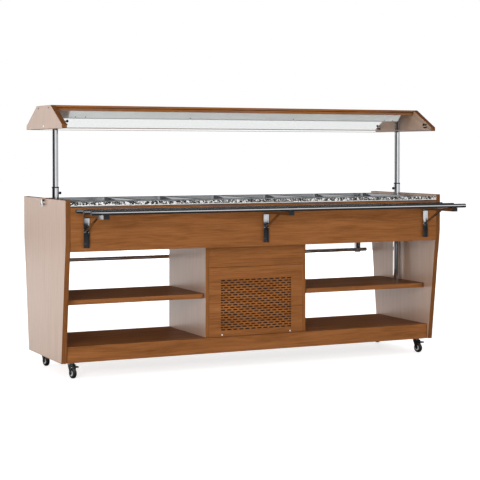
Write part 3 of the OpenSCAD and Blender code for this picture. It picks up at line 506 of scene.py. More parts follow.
def make_materials(context):
    """All finishes, each built once."""
    if MATERIALS:
        return MATERIALS
    colours = context.scene.salad_bar_finishes
    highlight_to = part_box("worktop")[0].z + context.scene.salad_bar_sizes.highlight_band
    steel, chrome = tuple(colours.steel), tuple(colours.chrome)
    light, dark = tuple(colours.timber_light), tuple(colours.timber_dark)
    pale, pale_dark = tuple(colours.laminate_light), tuple(colours.laminate_dark)
    plastic, paint = tuple(colours.plastic), tuple(colours.paint)
    # Near-black for the walls of slots and grooves: painted shade in recesses.
    recess_shade_colour = (0.012, 0.009, 0.007)

    # The edge bands are the brown timber dimmed by factor, 0.64 on end panels and canopy caps and 0.88 on
    # the partitions: painted shade.
    def shaded_edge_band(name, factor):
        return timber(name, "ZXY", dimmed(light, factor), dimmed(dark, factor), 0.35, 0.006, 0.01)

    MATERIALS.update({
        "board": timber("Brown timber lengthwise", "XYZ", light, dark),
        "edge": shaded_edge_band("Brown timber upright in painted shade", 0.64),
        "partition_edge_shaded": shaded_edge_band("Brown partition edge in painted shade", 0.88),
        "laminate": timber("Pale laminate upright", "ZYX", pale, pale_dark, 0.4, 0.004, 0.004, 0.7, 0.6),
        "granite": stone("Speckled granite", colours, highlight_to),
        "well": metal("Brushed steel sheet", steel, 0.1, 0.2),
        # The pans take the darker steel: painted shade.
        "pan": metal("Drawn pan steel in painted shade", tuple(colours.pan_steel), 0.06, 0.14, "YXZ", 0.05, 0.001, 0.000004,
                     contrast=0.03, metallic=0.75),
        "chrome": polished("Polished chrome", chrome),
        "satin": metal("Satin tube steel", steel, 0.08, 0.16, "YXZ", 0.04, 0.0005, 0.000006),
        "zinc": metal("Zinc plated sheet", steel, 0.3, 0.45, "XYZ", 0.02, 0.004, 0.000006, 0.1),
        "plastic": moulded("Black plastic", plastic),
        "caster_plastic": moulded("Black caster plastic", plastic, 0.3, 0.5, dust=0.25),
        "rubber": moulded("Black tyre rubber", dimmed(plastic, 0.9), 0.6, 0.8, 0.5, 0.00005),
        "hub": moulded("Pale hub plastic", tuple(colours.hub), 0.3, 0.45, 0.15),
        "paint": painted("Dark paint", paint, dust=0.2),
        "gloss_black": painted("Black gloss knob", plastic, 0.08, 0.16, 0.0),
        "housing": painted("Pale coated aluminium", tuple(colours.housing), 0.3, 0.4),
        # Slot and groove walls in near-black: painted shade.
        "recess_shade": moulded("Painted shade on slot and groove walls", recess_shade_colour, 0.7, 0.9),
        "white": painted("White enamel", (0.82, 0.82, 0.81), 0.3, 0.4),
        "lamp": glow("Opal lamp glass", (0.94, 0.94, 0.91), 0.25),
        "glass": clear_glass("Clear shield glass"),
        # The glass edge's fixed brownish-grey stands in for what the edge reflects: painted reflection.
        "glass_edge": painted("Glass edge with painted reflection", srgb(150, 132, 126), 0.35, 0.5, 0.00001),
        "copper": metal("Drawn copper", tuple(colours.copper), 0.2, 0.4, "XYZ", 0.05, 0.002, 0.000005, 0.15),
        "fin": metal("Thin aluminium fin", steel, 0.35, 0.5, "ZXY", 0.03, 0.002, 0.000005, 0.08),
        "skin": metal("Coated jacket skin", steel, 0.4, 0.55, "XYZ", 0.03, 0.01, 0.000005, 0.1),
        # The filter mat is near-black, partly as painted shade behind the front slots.
        "mat": moulded("Filter mat in near-black painted shade", (0.012, 0.011, 0.011), 0.8, 0.95, 0.0, 0.0004),
        "screen": painted("Smoked display pane", (0.012, 0.014, 0.014), 0.04, 0.08, 0.0),
    })
    return MATERIALS


# ---------- making pieces ----------

def dress(node, materials, choose=lambda face: 0):
    """Gives a CAD node its finishes; choose says which one a face takes."""
    mesh = NODES[node].data
    mesh.materials.clear()
    for material in materials:
        mesh.materials.append(material)
    for face in mesh.polygons:
        face.material_index = choose(face)


def place_piece(name, mesh, body, replaced=(), smooth=None):
    """Turns a mesh into a piece that rides on a body."""
    mesh.name = name
    piece = bpy.data.objects.new(name, mesh)
    bpy.context.scene.collection.objects.link(piece)
    if smooth is not None:
        for face in mesh.polygons:
            face.use_smooth = True
        mesh.set_sharp_from_angle(angle=math.radians(smooth))
    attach(piece, body)
    if replaced:
        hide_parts(*replaced)
    return piece


def mesh_from(shape, materials):
    mesh = bpy.data.meshes.new("shape")
    shape.to_mesh(mesh)
    shape.free()
    for material in materials:
        mesh.materials.append(material)
    return mesh


def merged_copy(node):
    """The node's surface as one joined shape with flat faces merged."""
    shape = bmesh.new()
    shape.from_mesh(NODES[node].data)
    bmesh.ops.remove_doubles(shape, verts=shape.verts, dist=0.00001)
    bmesh.ops.dissolve_limit(shape, angle_limit=math.radians(0.5), verts=shape.verts, edges=shape.edges)
    return shape


def softened_board(node, body, materials, choose, width):
    """A copy of a board with its edges rounded, standing for the board."""
    sharp, smallest_face = math.radians(30), 0.00003
    shape = merged_copy(node)
    edges = [e for e in shape.edges if len(e.link_faces) == 2 and e.calc_face_angle(0) > sharp
             and min(f.calc_area() for f in e.link_faces) > smallest_face]
    bmesh.ops.bevel(
        shape, geom=edges, offset=width, segments=2, profile=0.5, affect="EDGES", clamp_overlap=True)
    mesh = mesh_from(shape, materials)
    for face in mesh.polygons:
        face.material_index = choose(face)
    return place_piece(node + "_board", mesh, body, [node])


def lathe(profile, segments=48):
    """Turns (radius, height) points about Z into a closed shape; end points on the axis close it."""
    shape = bmesh.new()
    rings = []
    for radius, height in profile:
        if radius < 1e-7:
            rings.append([shape.verts.new((0, 0, height))])
        else:
            rings.append([shape.verts.new((radius * math.cos(a), radius * math.sin(a), height))
                          for a in (2 * math.pi * i / segments for i in range(segments))])
    for low, high in zip(rings, rings[1:]):
        join_rings(shape, low, high)
    if len(rings[0]) > 1 and len(rings[-1]) > 1:
        join_rings(shape, rings[-1], rings[0])
    bmesh.ops.recalc_face_normals(shape, faces=shape.faces)
    return shape


def join_rings(shape, low, high):
    """Joins two rings of equal count, or a ring and a single point."""
    count = max(len(low), len(high))
    for i in range(count):
        k = (i + 1) % count
        if len(low) == 1:
            corners = (low[0], high[k], high[i])
        elif len(high) == 1:
            corners = (low[i], low[k], high[0])
        else:
            corners = (low[i], low[k], high[k], high[i])
        shape.faces.new(corners)


def move(shape, matrix):
    bmesh.ops.transform(shape, matrix=matrix, verts=shape.verts)
    return shape


def joined(shapes):
    """Several shapes as one."""
    result = bmesh.new()
    for shape in shapes:
        mesh = bpy.data.meshes.new("part")
        shape.to_mesh(mesh)
        shape.free()
        result.from_mesh(mesh)
        bpy.data.meshes.remove(mesh)
    return result


def paint_shape(shape, index):
    for face in shape.faces:
        face.material_index = index
    return shape


def round_rect_ring(half_w, half_d, radius, z):
    """Points of a rectangle with round corners."""
    steps = 6
    points = []
    for quarter, (sx, sy) in enumerate(((1, 1), (-1, 1), (-1, -1), (1, -1))):
        for i in range(steps + 1):
            a = math.pi / 2 * (quarter + i / steps)
            points.append((sx * (half_w - radius) + radius * math.cos(a),
                           sy * (half_d - radius) + radius * math.sin(a), z))
    return points


def loft(rings):
    """A closed shape through rings of points, with flat ends."""
    shape = bmesh.new()
    made = [[shape.verts.new(p) for p in ring] for ring in rings]
    for low, high in zip(made, made[1:]):
        join_rings(shape, low, high)
    shape.faces.new(made[0])
    shape.faces.new(made[-1])
    bmesh.ops.recalc_face_normals(shape, faces=shape.faces)
    return shape


def geometry_tree(name, inputs):
    """A new Geometry Nodes tree with a Geometry input, named inputs and a Geometry output."""
    tree = bpy.data.node_groups.new(name, "GeometryNodeTree")
    tree.interface.new_socket(name="Geometry", in_out="INPUT", socket_type="NodeSocketGeometry")
    for label, kind, default in inputs:
        socket = tree.interface.new_socket(name=label, in_out="INPUT", socket_type=kind)
        if default is not None:
            socket.default_value = default
    tree.interface.new_socket(name="Geometry", in_out="OUTPUT", socket_type="NodeSocketGeometry")
    return tree, tree.nodes.new("NodeGroupInput"), tree.nodes.new("NodeGroupOutput")


def finish_tree(tree, start, end, geometry):
    real = put(tree, "GeometryNodeRealizeInstances", {"Geometry": geometry}).outputs[0]
    last = put(tree, "GeometryNodeSetMaterial", {"Geometry": real, "Material": start.outputs["Material"]})
    tree.links.new(last.outputs[0], end.inputs[0])
    return tree


def shifted(tree, geometry, **offset):
    """The geometry, moved by x, y and z."""
    return put(tree, "GeometryNodeTransform", {
        "Geometry": geometry, "Translation": combined(tree, **offset)}).outputs[0]


def grow(tree, base_mesh, values):
    """Runs a Geometry Nodes tree on a mesh and returns the plain result."""
    holder = bpy.data.objects.new("grow", base_mesh)
    bpy.context.scene.collection.objects.link(holder)
    modifier = holder.modifiers.new("grow", "NODES")
    modifier.node_group = tree
    for item in tree.interface.items_tree:
        if item.item_type == "SOCKET" and item.in_out == "INPUT" and item.name in values:
            modifier[item.identifier] = values[item.name]
    bpy.context.view_layer.update()
    graph = bpy.context.evaluated_depsgraph_get()
    result = bpy.data.meshes.new_from_object(holder.evaluated_get(graph))
    holder.modifiers.clear()
    bpy.data.objects.remove(holder)
    return result


def screw_tree():
    """A round screw head with a cross recess on each point, facing along the point's facing."""
    tree, start, end = geometry_tree("Cross screws", [
        ("Head", "NodeSocketFloat", 0.008), ("Height", "NodeSocketFloat", 0.002),
        ("Recess", "NodeSocketFloat", 0.0013), ("Material", "NodeSocketMaterial", None)])
    head, height, recess = (start.outputs[k] for k in ("Head", "Height", "Recess"))

    def disc(width, low, high):
        """A disc of width times the head, from low to high times the height."""
        mesh = put(tree, "GeometryNodeMeshCylinder", {
            "Vertices": 32, "Radius": maths(tree, "MULTIPLY", head, width / 2),
            "Depth": maths(tree, "MULTIPLY", height, high - low)}).outputs[0]
        return shifted(tree, mesh, z=maths(tree, "MULTIPLY", height, (low + high) / 2))

    def solid(operation, shapes, first=None):
        """One shape from several; the exact solver leaves no stray parts of the recess."""
        node = put(tree, "GeometryNodeMeshBoolean", first, operation=operation, solver="EXACT")
        for shape in shapes:
            tree.links.new(shape, node.inputs[1])
        return node.outputs[0]

    stack = solid("UNION", [disc(1.0, 0.0, 0.45), disc(0.9, 0.2, 0.75), disc(0.7, 0.5, 1.0)])
    arm = maths(tree, "MULTIPLY", head, 0.52)
    deep = maths(tree, "MULTIPLY", height, 0.6)
    arms = []
    for x, y in ((arm, recess), (recess, arm)):
        cube = put(tree, "GeometryNodeMeshCube", {"Size": combined(tree, x, y, deep)}).outputs[0]
        arms.append(shifted(tree, cube, z=height))
    cut = solid("DIFFERENCE", arms, {"Mesh 1": stack})
    facing = put(tree, "GeometryNodeInputNamedAttribute", {"Name": "facing"}, data_type="FLOAT_VECTOR")
    turn = put(tree, "FunctionNodeAlignRotationToVector", {"Vector": facing.outputs[0]}, axis="Z").outputs[0]
    spread = put(tree, "GeometryNodeInstanceOnPoints", {
        "Points": start.outputs[0], "Instance": cut, "Rotation": turn}).outputs[0]
    return finish_tree(tree, start, end, spread)


def spoke_tree():
    """Flat ribs round the Z axis."""
    tree, start, end = geometry_tree("Ribs in a ring", [
        ("Count", "NodeSocketInt", 6), ("Inner", "NodeSocketFloat", 0.005),
        ("Outer", "NodeSocketFloat", 0.012), ("Thickness", "NodeSocketFloat", 0.0016),
        ("Depth", "NodeSocketFloat", 0.002), ("Material", "NodeSocketMaterial", None)])
    count, inner, outer, thick, deep = (
        start.outputs[k] for k in ("Count", "Inner", "Outer", "Thickness", "Depth"))
    size = combined(tree, maths(tree, "SUBTRACT", outer, inner), thick, deep)
    cube = put(tree, "GeometryNodeMeshCube", {"Size": size}).outputs[0]
    rib = shifted(tree, cube, x=maths(tree, "MULTIPLY", maths(tree, "ADD", outer, inner), 0.5))
    points = put(tree, "GeometryNodePoints", {"Count": count}).outputs[0]
    step = maths(tree, "DIVIDE", 2 * math.pi, count)
    turn = combined(tree, z=maths(tree, "MULTIPLY", put(tree, "GeometryNodeInputIndex").outputs[0], step))
    spread = put(tree, "GeometryNodeInstanceOnPoints", {
        "Points": points, "Instance": rib, "Rotation": turn}).outputs[0]
    return finish_tree(tree, start, end, spread)


def row_tree():
    """A row of thin plates."""
    tree, start, end = geometry_tree("Plates in a row", [
        ("Count", "NodeSocketInt", 100), ("First", "NodeSocketVector", None),
        ("Step", "NodeSocketVector", None), ("Size", "NodeSocketVector", None),
        ("Material", "NodeSocketMaterial", None)])
    line = put(tree, "GeometryNodeMeshLine", {
        "Count": start.outputs["Count"], "Start Location": start.outputs["First"],
        "Offset": start.outputs["Step"]}).outputs[0]
    plate = put(tree, "GeometryNodeMeshCube", {"Size": start.outputs["Size"]}).outputs[0]
    spread = put(tree, "GeometryNodeInstanceOnPoints", {"Points": line, "Instance": plate}).outputs[0]
    return finish_tree(tree, start, end, spread)


def empty_mesh():
    return bpy.data.meshes.new("seed")


def point_mesh(points):
    """A mesh of loose points, each with the way it faces."""
    mesh = bpy.data.meshes.new("points")
    mesh.from_pydata([p for p, _ in points], [], [])
    attribute = mesh.attributes.new("facing", "FLOAT_VECTOR", "POINT")
    for i, (_, facing) in enumerate(points):
        attribute.data[i].vector = facing
    return mesh


# ---------- operators ----------

# Cards round the object: first and last turn and first and last rise in degrees, and strength.
CARDS = {
    "Card_front": (232, 282, -4, 40, 1.0),
    "Card_front_right": (284, 316, -4, 36, 0.8),
    "Card_right": (330, 372, -4, 40, 0.8),
    "Card_left": (105, 140, -4, 40, 1.2),
}
# Sheets on the floor, which meet in a seam: corners in metres, and strength.
SEAM_NEAR, SEAM_FAR = (-0.93, 0.5), (-4.9, 9)
SHEETS = {
    "Sheet_left": ([(-9, -0.4), (-1.2, -0.4), (-1.2, 0.5), SEAM_NEAR, SEAM_FAR, (-9, 9)], 0.9),
    "Sheet_rear": ([SEAM_NEAR, (6, 0.5), (6, 9), SEAM_FAR], 1.25),
}


class StudioOperator(bpy.types.Operator):
    """Makes the floor, the lamps, the camera and the bright surfaces that only mirrors see."""
    bl_idname = "salad_bar.studio"
    bl_label = "Studio"

    def execute(self, context):
        scene = context.scene
        s = scene.salad_bar_studio
        scene.view_settings.view_transform = "Standard"
        self.world(scene, s)
        self.floor()
        for name, values in CARDS.items():
            self.card(name, *values)
        for name, (corners, strength) in SHEETS.items():
            self.sheet(name, corners, strength)
        self.lamp("Front_left", (-5.2, -6.0, 1.5), s.front)
        self.lamp("Left", (-8.0, -0.6, 1.5), s.left)
        self.lamp("Front_right", (4.5, -6.5, 1.5), s.right)
        self.lamp("Rear", (4.0, 7.0, 1.8), s.rear)
        camera = bpy.data.cameras.new("Camera")
        camera.sensor_width = 36
        camera.lens = s.lens
        camera.shift_y = s.shift
        camera.clip_end = 200
        eye = bpy.data.objects.new("Camera", camera)
        eye.location = s.eye
        eye.rotation_euler = (math.pi / 2 + s.tilt, 0, -s.heading)
        scene.collection.objects.link(eye)
        scene.camera = eye
        return {"FINISHED"}

    @staticmethod
    def views(tree):
        """Masks of what the camera sees and of what mirrors see, each also through glass."""
        path = put(tree, "ShaderNodeLightPath").outputs
        in_mirror = maths(tree, "MULTIPLY", path["Is Transmission Ray"],
                          maths(tree, "MINIMUM", path["Glossy Depth"], 1.0))
        through = maths(tree, "SUBTRACT", path["Is Transmission Ray"], in_mirror)
        return (maths(tree, "MAXIMUM", path["Is Camera Ray"], through),
                maths(tree, "MAXIMUM", path["Is Glossy Ray"], in_mirror))

    def world(self, scene, s):
        """White behind the object; its own light comes mostly from overhead, and mirrors see a dim room."""
        world = scene.world or bpy.data.worlds.new("Studio")
        scene.world = world
        world.use_nodes = True
        tree = world.node_tree
        tree.nodes.clear()
        seen, mirrored = self.views(tree)
        way = put(tree, "ShaderNodeTexCoord").outputs["Generated"]
        up = axes(tree, way)[2]
        strength = span(tree, up, 0.15, 0.85, s.horizon, s.sky)
        strength = self.choose(tree, mirrored, strength, s.mirrored)
        strength = self.choose(tree, seen, strength, 1.0)
        light = put(tree, "ShaderNodeBackground", {"Color": (1, 1, 1, 1), "Strength": strength})
        put(tree, "ShaderNodeOutputWorld", {"Surface": light.outputs[0]})

    @staticmethod
    def choose(tree, which, no, yes):
        return put(tree, "ShaderNodeMix", {0: which, 2: no, 3: yes}, data_type="FLOAT").outputs[0]

    def floor(self):
        """A pale floor that is white to the camera, keeps the object's shadow and is dim in mirrors."""
        pale, dim, glow_share, half = (0.8, 0.8, 0.8), (0.045, 0.045, 0.045), 0.72, 40
        finish = Finish("Pale floor", roughness=0.9, emission_color=(1, 1, 1), specular_ior_level=0.1)
        tree = finish.tree
        seen, mirrored = self.views(tree)
        finish.set("Base Color", blend_colours(tree, mirrored, pale, dim))
        finish.set("Emission Strength", maths(tree, "MULTIPLY", seen, glow_share))
        corners = [(-half, -half, 0), (half, -half, 0), (half, half, 0), (-half, half, 0)]
        mesh = bpy.data.meshes.new("Floor")
        mesh.from_pydata(corners, [], [(0, 1, 2, 3)])
        mesh.materials.append(finish.material)
        floor = bpy.data.objects.new("Floor", mesh)
        bpy.context.scene.collection.objects.link(floor)

    def card(self, name, turn_from, turn_to, rise_from, rise_to, strength):
        """A bright curved card round the object; turn is counted from +X to +Y, in degrees."""
        distance, centre_height = 12.0, 1.0
        columns, rows = 12, 6
        points, faces = [], []
        for row in range(rows + 1):
            rise = math.radians(rise_from + (rise_to - rise_from) * row / rows)
            reach = distance * math.cos(rise)
            height = distance * math.sin(rise) + centre_height
            for column in range(columns + 1):
                turn = math.radians(turn_from + (turn_to - turn_from) * column / columns)
                points.append((reach * math.cos(turn), reach * math.sin(turn), height))
        for row in range(rows):
            for column in range(columns):
                i = row * (columns + 1) + column
                faces.append((i + 1, i, i + columns + 1, i + columns + 2))
        self.mirrored_only(name, points, faces, strength)

    def sheet(self, name, corners, strength):
        """A bright sheet just above the floor."""
        height = 0.004
        points = [(x, y, height) for x, y in corners]
        self.mirrored_only(name, points, [tuple(range(len(points)))], strength)

    @staticmethod
    def mirrored_only(name, points, faces, strength):
        """A glowing surface that only mirrors see."""
        finish = Finish(name, base_color=(0, 0, 0), roughness=1.0, specular_ior_level=0.0,
                        emission_color=(1, 1, 1), emission_strength=strength)
        mesh = bpy.data.meshes.new(name)
        mesh.from_pydata(points, [], faces)
        mesh.materials.append(finish.material)
        card = bpy.data.objects.new(name, mesh)
        bpy.context.scene.collection.objects.link(card)
        card.visible_camera = False
        card.visible_diffuse = False
        card.visible_transmission = False
        card.visible_shadow = False

    @staticmethod
    def lamp(name, place, watts):
        """A square lamp that shines on the middle of the bar and is never seen itself."""
        target, side = (0, 0, 0.5), 2.8
        data = bpy.data.lights.new(name, "AREA")
        data.size = side
        data.energy = watts
        lamp = bpy.data.objects.new(name, data)
        lamp.location = place
        way = Vector(target) - Vector(place)
        lamp.rotation_euler = way.to_track_quat("-Z", "Y").to_euler()
        lamp.visible_camera = False
        lamp.visible_glossy = False
        lamp.visible_transmission = False
        bpy.context.scene.collection.objects.link(lamp)


class JoineryOperator(bpy.types.Operator):
    """Makes the boards with rounded edges, pale faces and brown edge bands darkened as painted shade."""
    bl_idname = "salad_bar.joinery"
    bl_label = "Boards and panels"

    def execute(self, context):
        looks = make_materials(context)
        width = context.scene.salad_bar_sizes.board_round

        def pale_sides(face):
            return 0 if abs(face.normal.x) > 0.95 else 1

        for node, body in (("end_panel_left", "cabinet"), ("end_panel_right", "cabinet"),
                           ("partitions", "cabinet"), ("canopy_cap_left", "canopy"),
                           ("canopy_cap_right", "canopy")):
            # The edge bands are dimmed as painted shade.
            edge = looks["partition_edge_shaded" if node == "partitions" else "edge"]
            softened_board(node, body, [looks["laminate"], edge], pale_sides, width)
        for node in ("fascia_front", "fascia_rear", "deck_boards", "plinths", "mid_shelves",
                     "upper_panel_front", "upper_panel_rear"):
            softened_board(node, "cabinet", [looks["board"]], lambda face: 0, width)
        self.roof(looks)
        for node in ("service_panel_front", "service_panel_rear"):
            self.grille(node, looks)
        return {"FINISHED"}

    @staticmethod
    def roof(looks):
        """The canopy's roof board, with painted shade inside the groove of its edge."""
        low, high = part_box("canopy_roof")
        middle_z = (low.z + high.z) / 2
        groove, rim = 0.002, 0.0002

        def in_groove(face):
            level = abs(face.center.z - middle_z) < groove and abs(face.normal.x) < 0.5
            return 1 if level and abs(face.center.y) < high.y - rim else 0

        softened_board("canopy_roof", "canopy", [looks["board"], looks["recess_shade"]],
                       in_groove, groove / 4)

    @staticmethod
    def grille(node, looks):
        """A service panel whose slot walls are near-black as painted shade."""
        low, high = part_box(node)
        margin = 0.02

        def slot_wall(face):
            x, _, z = face.center
            inside = low.x + margin < x < high.x - margin and low.z + margin < z < high.z - margin
            return 1 if inside and abs(face.normal.y) < 0.7 else 0

        dress(node, [looks["board"], looks["recess_shade"]], slot_wall)


class StoneOperator(bpy.types.Operator):
    """Gives the worktop its speckled stone."""
    bl_idname = "salad_bar.stone"
    bl_label = "Worktop"

    def execute(self, context):
        dress("worktop", [make_materials(context)["granite"]])
        return {"FINISHED"}


class WellOperator(bpy.types.Operator):
    """Gives the well its brushed sheet and adds the ribs over its drain."""
    bl_idname = "salad_bar.well"
    bl_label = "Well"

    def execute(self, context):
        looks = make_materials(context)
        dress("well", [looks["well"]])
        dress("well_jacket", [looks["skin"]])
        floor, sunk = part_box("evaporator")[0].z, 0.0025
        ribs = grow(spoke_tree(), empty_mesh(), {
            "Count": 8, "Inner": 0.0015, "Outer": 0.0105, "Thickness": 0.0012, "Depth": 0.001,
            "Material": looks["well"]})
        ribs.transform(Matrix.Translation((0, 0, floor - sunk)))
        place_piece("drain_ribs", ribs, "cabinet")
        return {"FINISHED"}


class PansOperator(bpy.types.Operator):
    """Makes the six stamped pans with their rims, shoulders and round floors."""
    bl_idname = "salad_bar.pans"
    bl_label = "Pans"

    def execute(self, context):
        looks = make_materials(context)
        sizes = context.scene.salad_bar_sizes
        for index in range(1, 7):
            low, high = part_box(f"pan_{index}")
            mesh = mesh_from(self.pan(low, high, sizes), [looks["pan"]])
            place_piece(f"pan_{index}_stamped", mesh, f"pan_{index}_body", [f"pan_{index}"], 40)
        return {"FINISHED"}

    @staticmethod
    def pan(low, high, sizes):
        """One pan; a station is (inset, drop below the rim, corner radius, more inset in Y), all in mm."""
        sheet, fillet = sizes.sheet / MM, sizes.pan_fillet / MM
        depth = (high.z - low.z) / MM
        neck, step_in, taper = 9.8, 2.6, 6.1
        step_top, step_low = 21.5, 26.0
        foot_corner, extra, arc_steps = 27, 2.5, 5

        def wall(drop):
            """The inset of the outer wall below the step."""
            return neck + step_in + (drop - step_low) * taper / (depth - step_low)

        def fillet_station(i, inset, radius, bottom, corner):
            """Station i of the round between wall and floor, counted from the floor."""
            a = math.pi / 2 * i / arc_steps
            return (inset + radius * (1 - math.sin(a)), bottom - radius * (1 - math.cos(a)),
                    corner - radius + radius * math.sin(a), extra)

        foot = wall(depth)
        outside = [fillet_station(i, foot, fillet, depth, foot_corner) for i in range(arc_steps + 1)]
        outside += [(wall(step_low), step_low, 28, extra), (10.6, step_low - 2, 29, extra),
                    (neck, step_top, 30, extra), (neck, 2.6, 30, extra), (9.2, 1.5, 28, extra * 0.7),
                    (0.9, 1.5, 12, 0)]
        rim = [(0.2, 1.25, 12, 0), (0.0, 0.85, 12, 0), (0.1, 0.4, 12, 0), (0.5, 0.1, 12, 0),
               (1.2, 0.0, 12, 0), (6.0, 0.0, 14, extra * 0.2), (8.4, 0.15, 20, extra * 0.6),
               (neck, 0.7, 26, extra), (10.7, 1.7, 29, extra)]
        inside = [(neck + sheet, 3.2, 29, extra), (neck + sheet, step_top - 0.4, 29, extra),
                  (10.8 + sheet, step_low - 2.4, 28, extra), (wall(step_low) + sheet, step_low, 27, extra)]
        inside += [fillet_station(i, foot + sheet, fillet - sheet, depth - sheet, foot_corner - sheet)
                   for i in reversed(range(arc_steps + 1))]
        half_w, half_d = (high.x - low.x) / 2, (high.y - low.y) / 2
        centre = (low + high) / 2
        rings = []
        for inset, drop, radius, more in outside + rim + inside:
            ring = round_rect_ring(half_w - inset * MM, half_d - (inset + more) * MM, radius * MM,
                                   high.z - drop * MM)
            rings.append([(x + centre.x, y + centre.y, z) for x, y, z in ring])
        return loft(rings)


class FastenersOperator(bpy.types.Operator):
    """Makes the cross screws and the chrome caps over the guide bolts."""
    bl_idname = "salad_bar.fasteners"
    bl_label = "Screws and caps"

    def execute(self, context):
        looks = make_materials(context)
        sizes = context.scene.salad_bar_sizes
        tree = screw_tree()
        self.bracket_screws(looks, tree, sizes)
        self.panel_screws(looks, tree, sizes)
        self.bolt_caps(looks)
        self.housing_screws(looks, tree)
        return {"FINISHED"}

    @staticmethod
    def bracket_screws(looks, tree, sizes):
        """Two screws in the web of each wall bracket."""
        bracket_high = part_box("slide_brackets")[1]
        web, hinge_drop, half_width = 0.003, 0.007, 0.0165
        screw_drops = (0.011, 0.1355)
        face_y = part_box("fascia_rear")[1].y + web
        hinge_z = bracket_high.z - hinge_drop
        outer_x = bracket_high.x - half_width
        points = [((x, s * face_y, hinge_z - drop), (0, s, 0))
                  for x in (-outer_x, 0, outer_x) for s in (-1, 1) for drop in screw_drops]
        mesh = grow(tree, point_mesh(points), {
            "Head": sizes.screw_head, "Height": 0.0012, "Recess": sizes.recess, "Material": looks["chrome"]})
        place_piece("bracket_screws", mesh, "cabinet", ["panel_fasteners"])

    @staticmethod
    def panel_screws(looks, tree, sizes):
        """A screw in each lower corner of the service panels."""
        panel_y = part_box("service_panel_rear")[1].y
        screw_x, screw_rise = 0.203, 0.009
        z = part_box("deck_boards")[1].z + screw_rise
        points = [((x, s * panel_y, z), (0, s, 0)) for x in (-screw_x, screw_x) for s in (-1, 1)]
        mesh = grow(tree, point_mesh(points), {
            "Head": sizes.screw_head, "Height": 0.002, "Recess": sizes.recess, "Material": looks["housing"]})
        place_piece("panel_screws", mesh, "cabinet", ["panel_fasteners"])

    @staticmethod
    def bolt_caps(looks):
        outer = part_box("end_panel_right")[1].x
        drop, radius, rise, bead = 0.014, 0.02, 0.0085, 0.0045
        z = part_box("worktop")[1].z - drop
        profile = [(0.0, 0.0), (radius, 0.0), (radius, rise)]
        profile += [(0.0155 + bead * math.cos(a), rise + bead * math.sin(a))
                    for a in (math.radians(d) for d in (20, 40, 60, 80))]
        profile += [(0.0135, 0.013), (0.0125, 0.0122), (0.006, 0.0125), (0.0, 0.0126)]
        shapes = []
        for side in (-1, 1):
            turn = Matrix.Rotation(side * math.pi / 2, 4, "Y")
            shapes.append(move(lathe(profile), Matrix.Translation((side * outer, 0, z)) @ turn))
        mesh = mesh_from(joined(shapes), [looks["chrome"]])
        place_piece("bolt_caps", mesh, "cabinet", ["panel_fasteners"], 40)

    @staticmethod
    def housing_screws(looks, tree):
        low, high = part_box("light_housing")
        foot, inward = 0.076, 0.004
        slope = math.atan2(high.z - low.z, high.y - foot)
        points = []
        for s in (-1, 1):
            facing = (0, s * math.sin(slope), -math.cos(slope))
            for x in (-0.955, -0.9, -0.31, 0.31, 0.9, 0.955):
                points.append(((x, s * (foot + inward), low.z + inward * math.tan(slope)), facing))
        mesh = grow(tree, point_mesh(points), {
            "Head": 0.006, "Height": 0.0009, "Recess": 0.001, "Material": looks["paint"]})
        place_piece("housing_screws", mesh, "canopy")


class PostsOperator(bpy.types.Operator):
    """Gives posts, guides, collars and bushes their finishes and makes the thumb knobs."""
    bl_idname = "salad_bar.posts"
    bl_label = "Posts and knobs"

    def execute(self, context):
        looks = make_materials(context)
        for node in ("canopy_posts", "post_guides", "post_collars"):
            dress(node, [looks["chrome"]])
        dress("post_bushes", [looks["plastic"]])
        lobes = context.scene.salad_bar_sizes.knob_lobes
        for side, node, body in ((-1, "thumb_knob_left", "left_thumb_knob"),
                                 (1, "thumb_knob_right", "right_thumb_knob")):
            low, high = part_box(node)
            self.knob(node, body, side, low, high, lobes, looks)
        return {"FINISHED"}

    @staticmethod
    def knob(node, body, side, low, high, lobes, looks):
        """A lobed head on a turned stem; it points to the middle of the bar."""
        total = high.x - low.x
        head, lobe_depth = 0.010, 0.11
        steps = lobes * 12
        rings = []
        for radius, back in ((0.0045, 0.0), (0.0068, 0.0004), (0.0078, 0.0016), (0.0079, 0.0050),
                             (0.0079, 0.0084), (0.0070, 0.0096), (0.0055, head)):
            ring = []
            for i in range(steps):
                a = 2 * math.pi * i / steps
                r = radius * (1 - lobe_depth * (1 + math.cos(lobes * a)) / 2)
                ring.append((r * math.cos(a), r * math.sin(a), back))
            rings.append(ring)
        shapes = [paint_shape(loft(rings), 0)]
        stem_top, collar, shaft = head - 0.001, 0.0055, 0.0030
        stem = lathe([(0.0, stem_top), (collar, stem_top), (collar, head + 0.003), (shaft, head + 0.003),
                      (shaft, total - 0.0004), (0.0026, total), (0.0, total)], 24)
        shapes.append(paint_shape(stem, 1))
        shape = joined(shapes)
        centre = (low + high) / 2
        tip = low.x if side > 0 else high.x
        turn = Matrix.Rotation(side * math.pi / 2, 4, "Y")
        move(shape, Matrix.Translation((tip, centre.y, centre.z)) @ turn)
        mesh = mesh_from(shape, [looks["gloss_black"], looks["satin"]])
        place_piece(node + "_lobed", mesh, body, [node], 40)


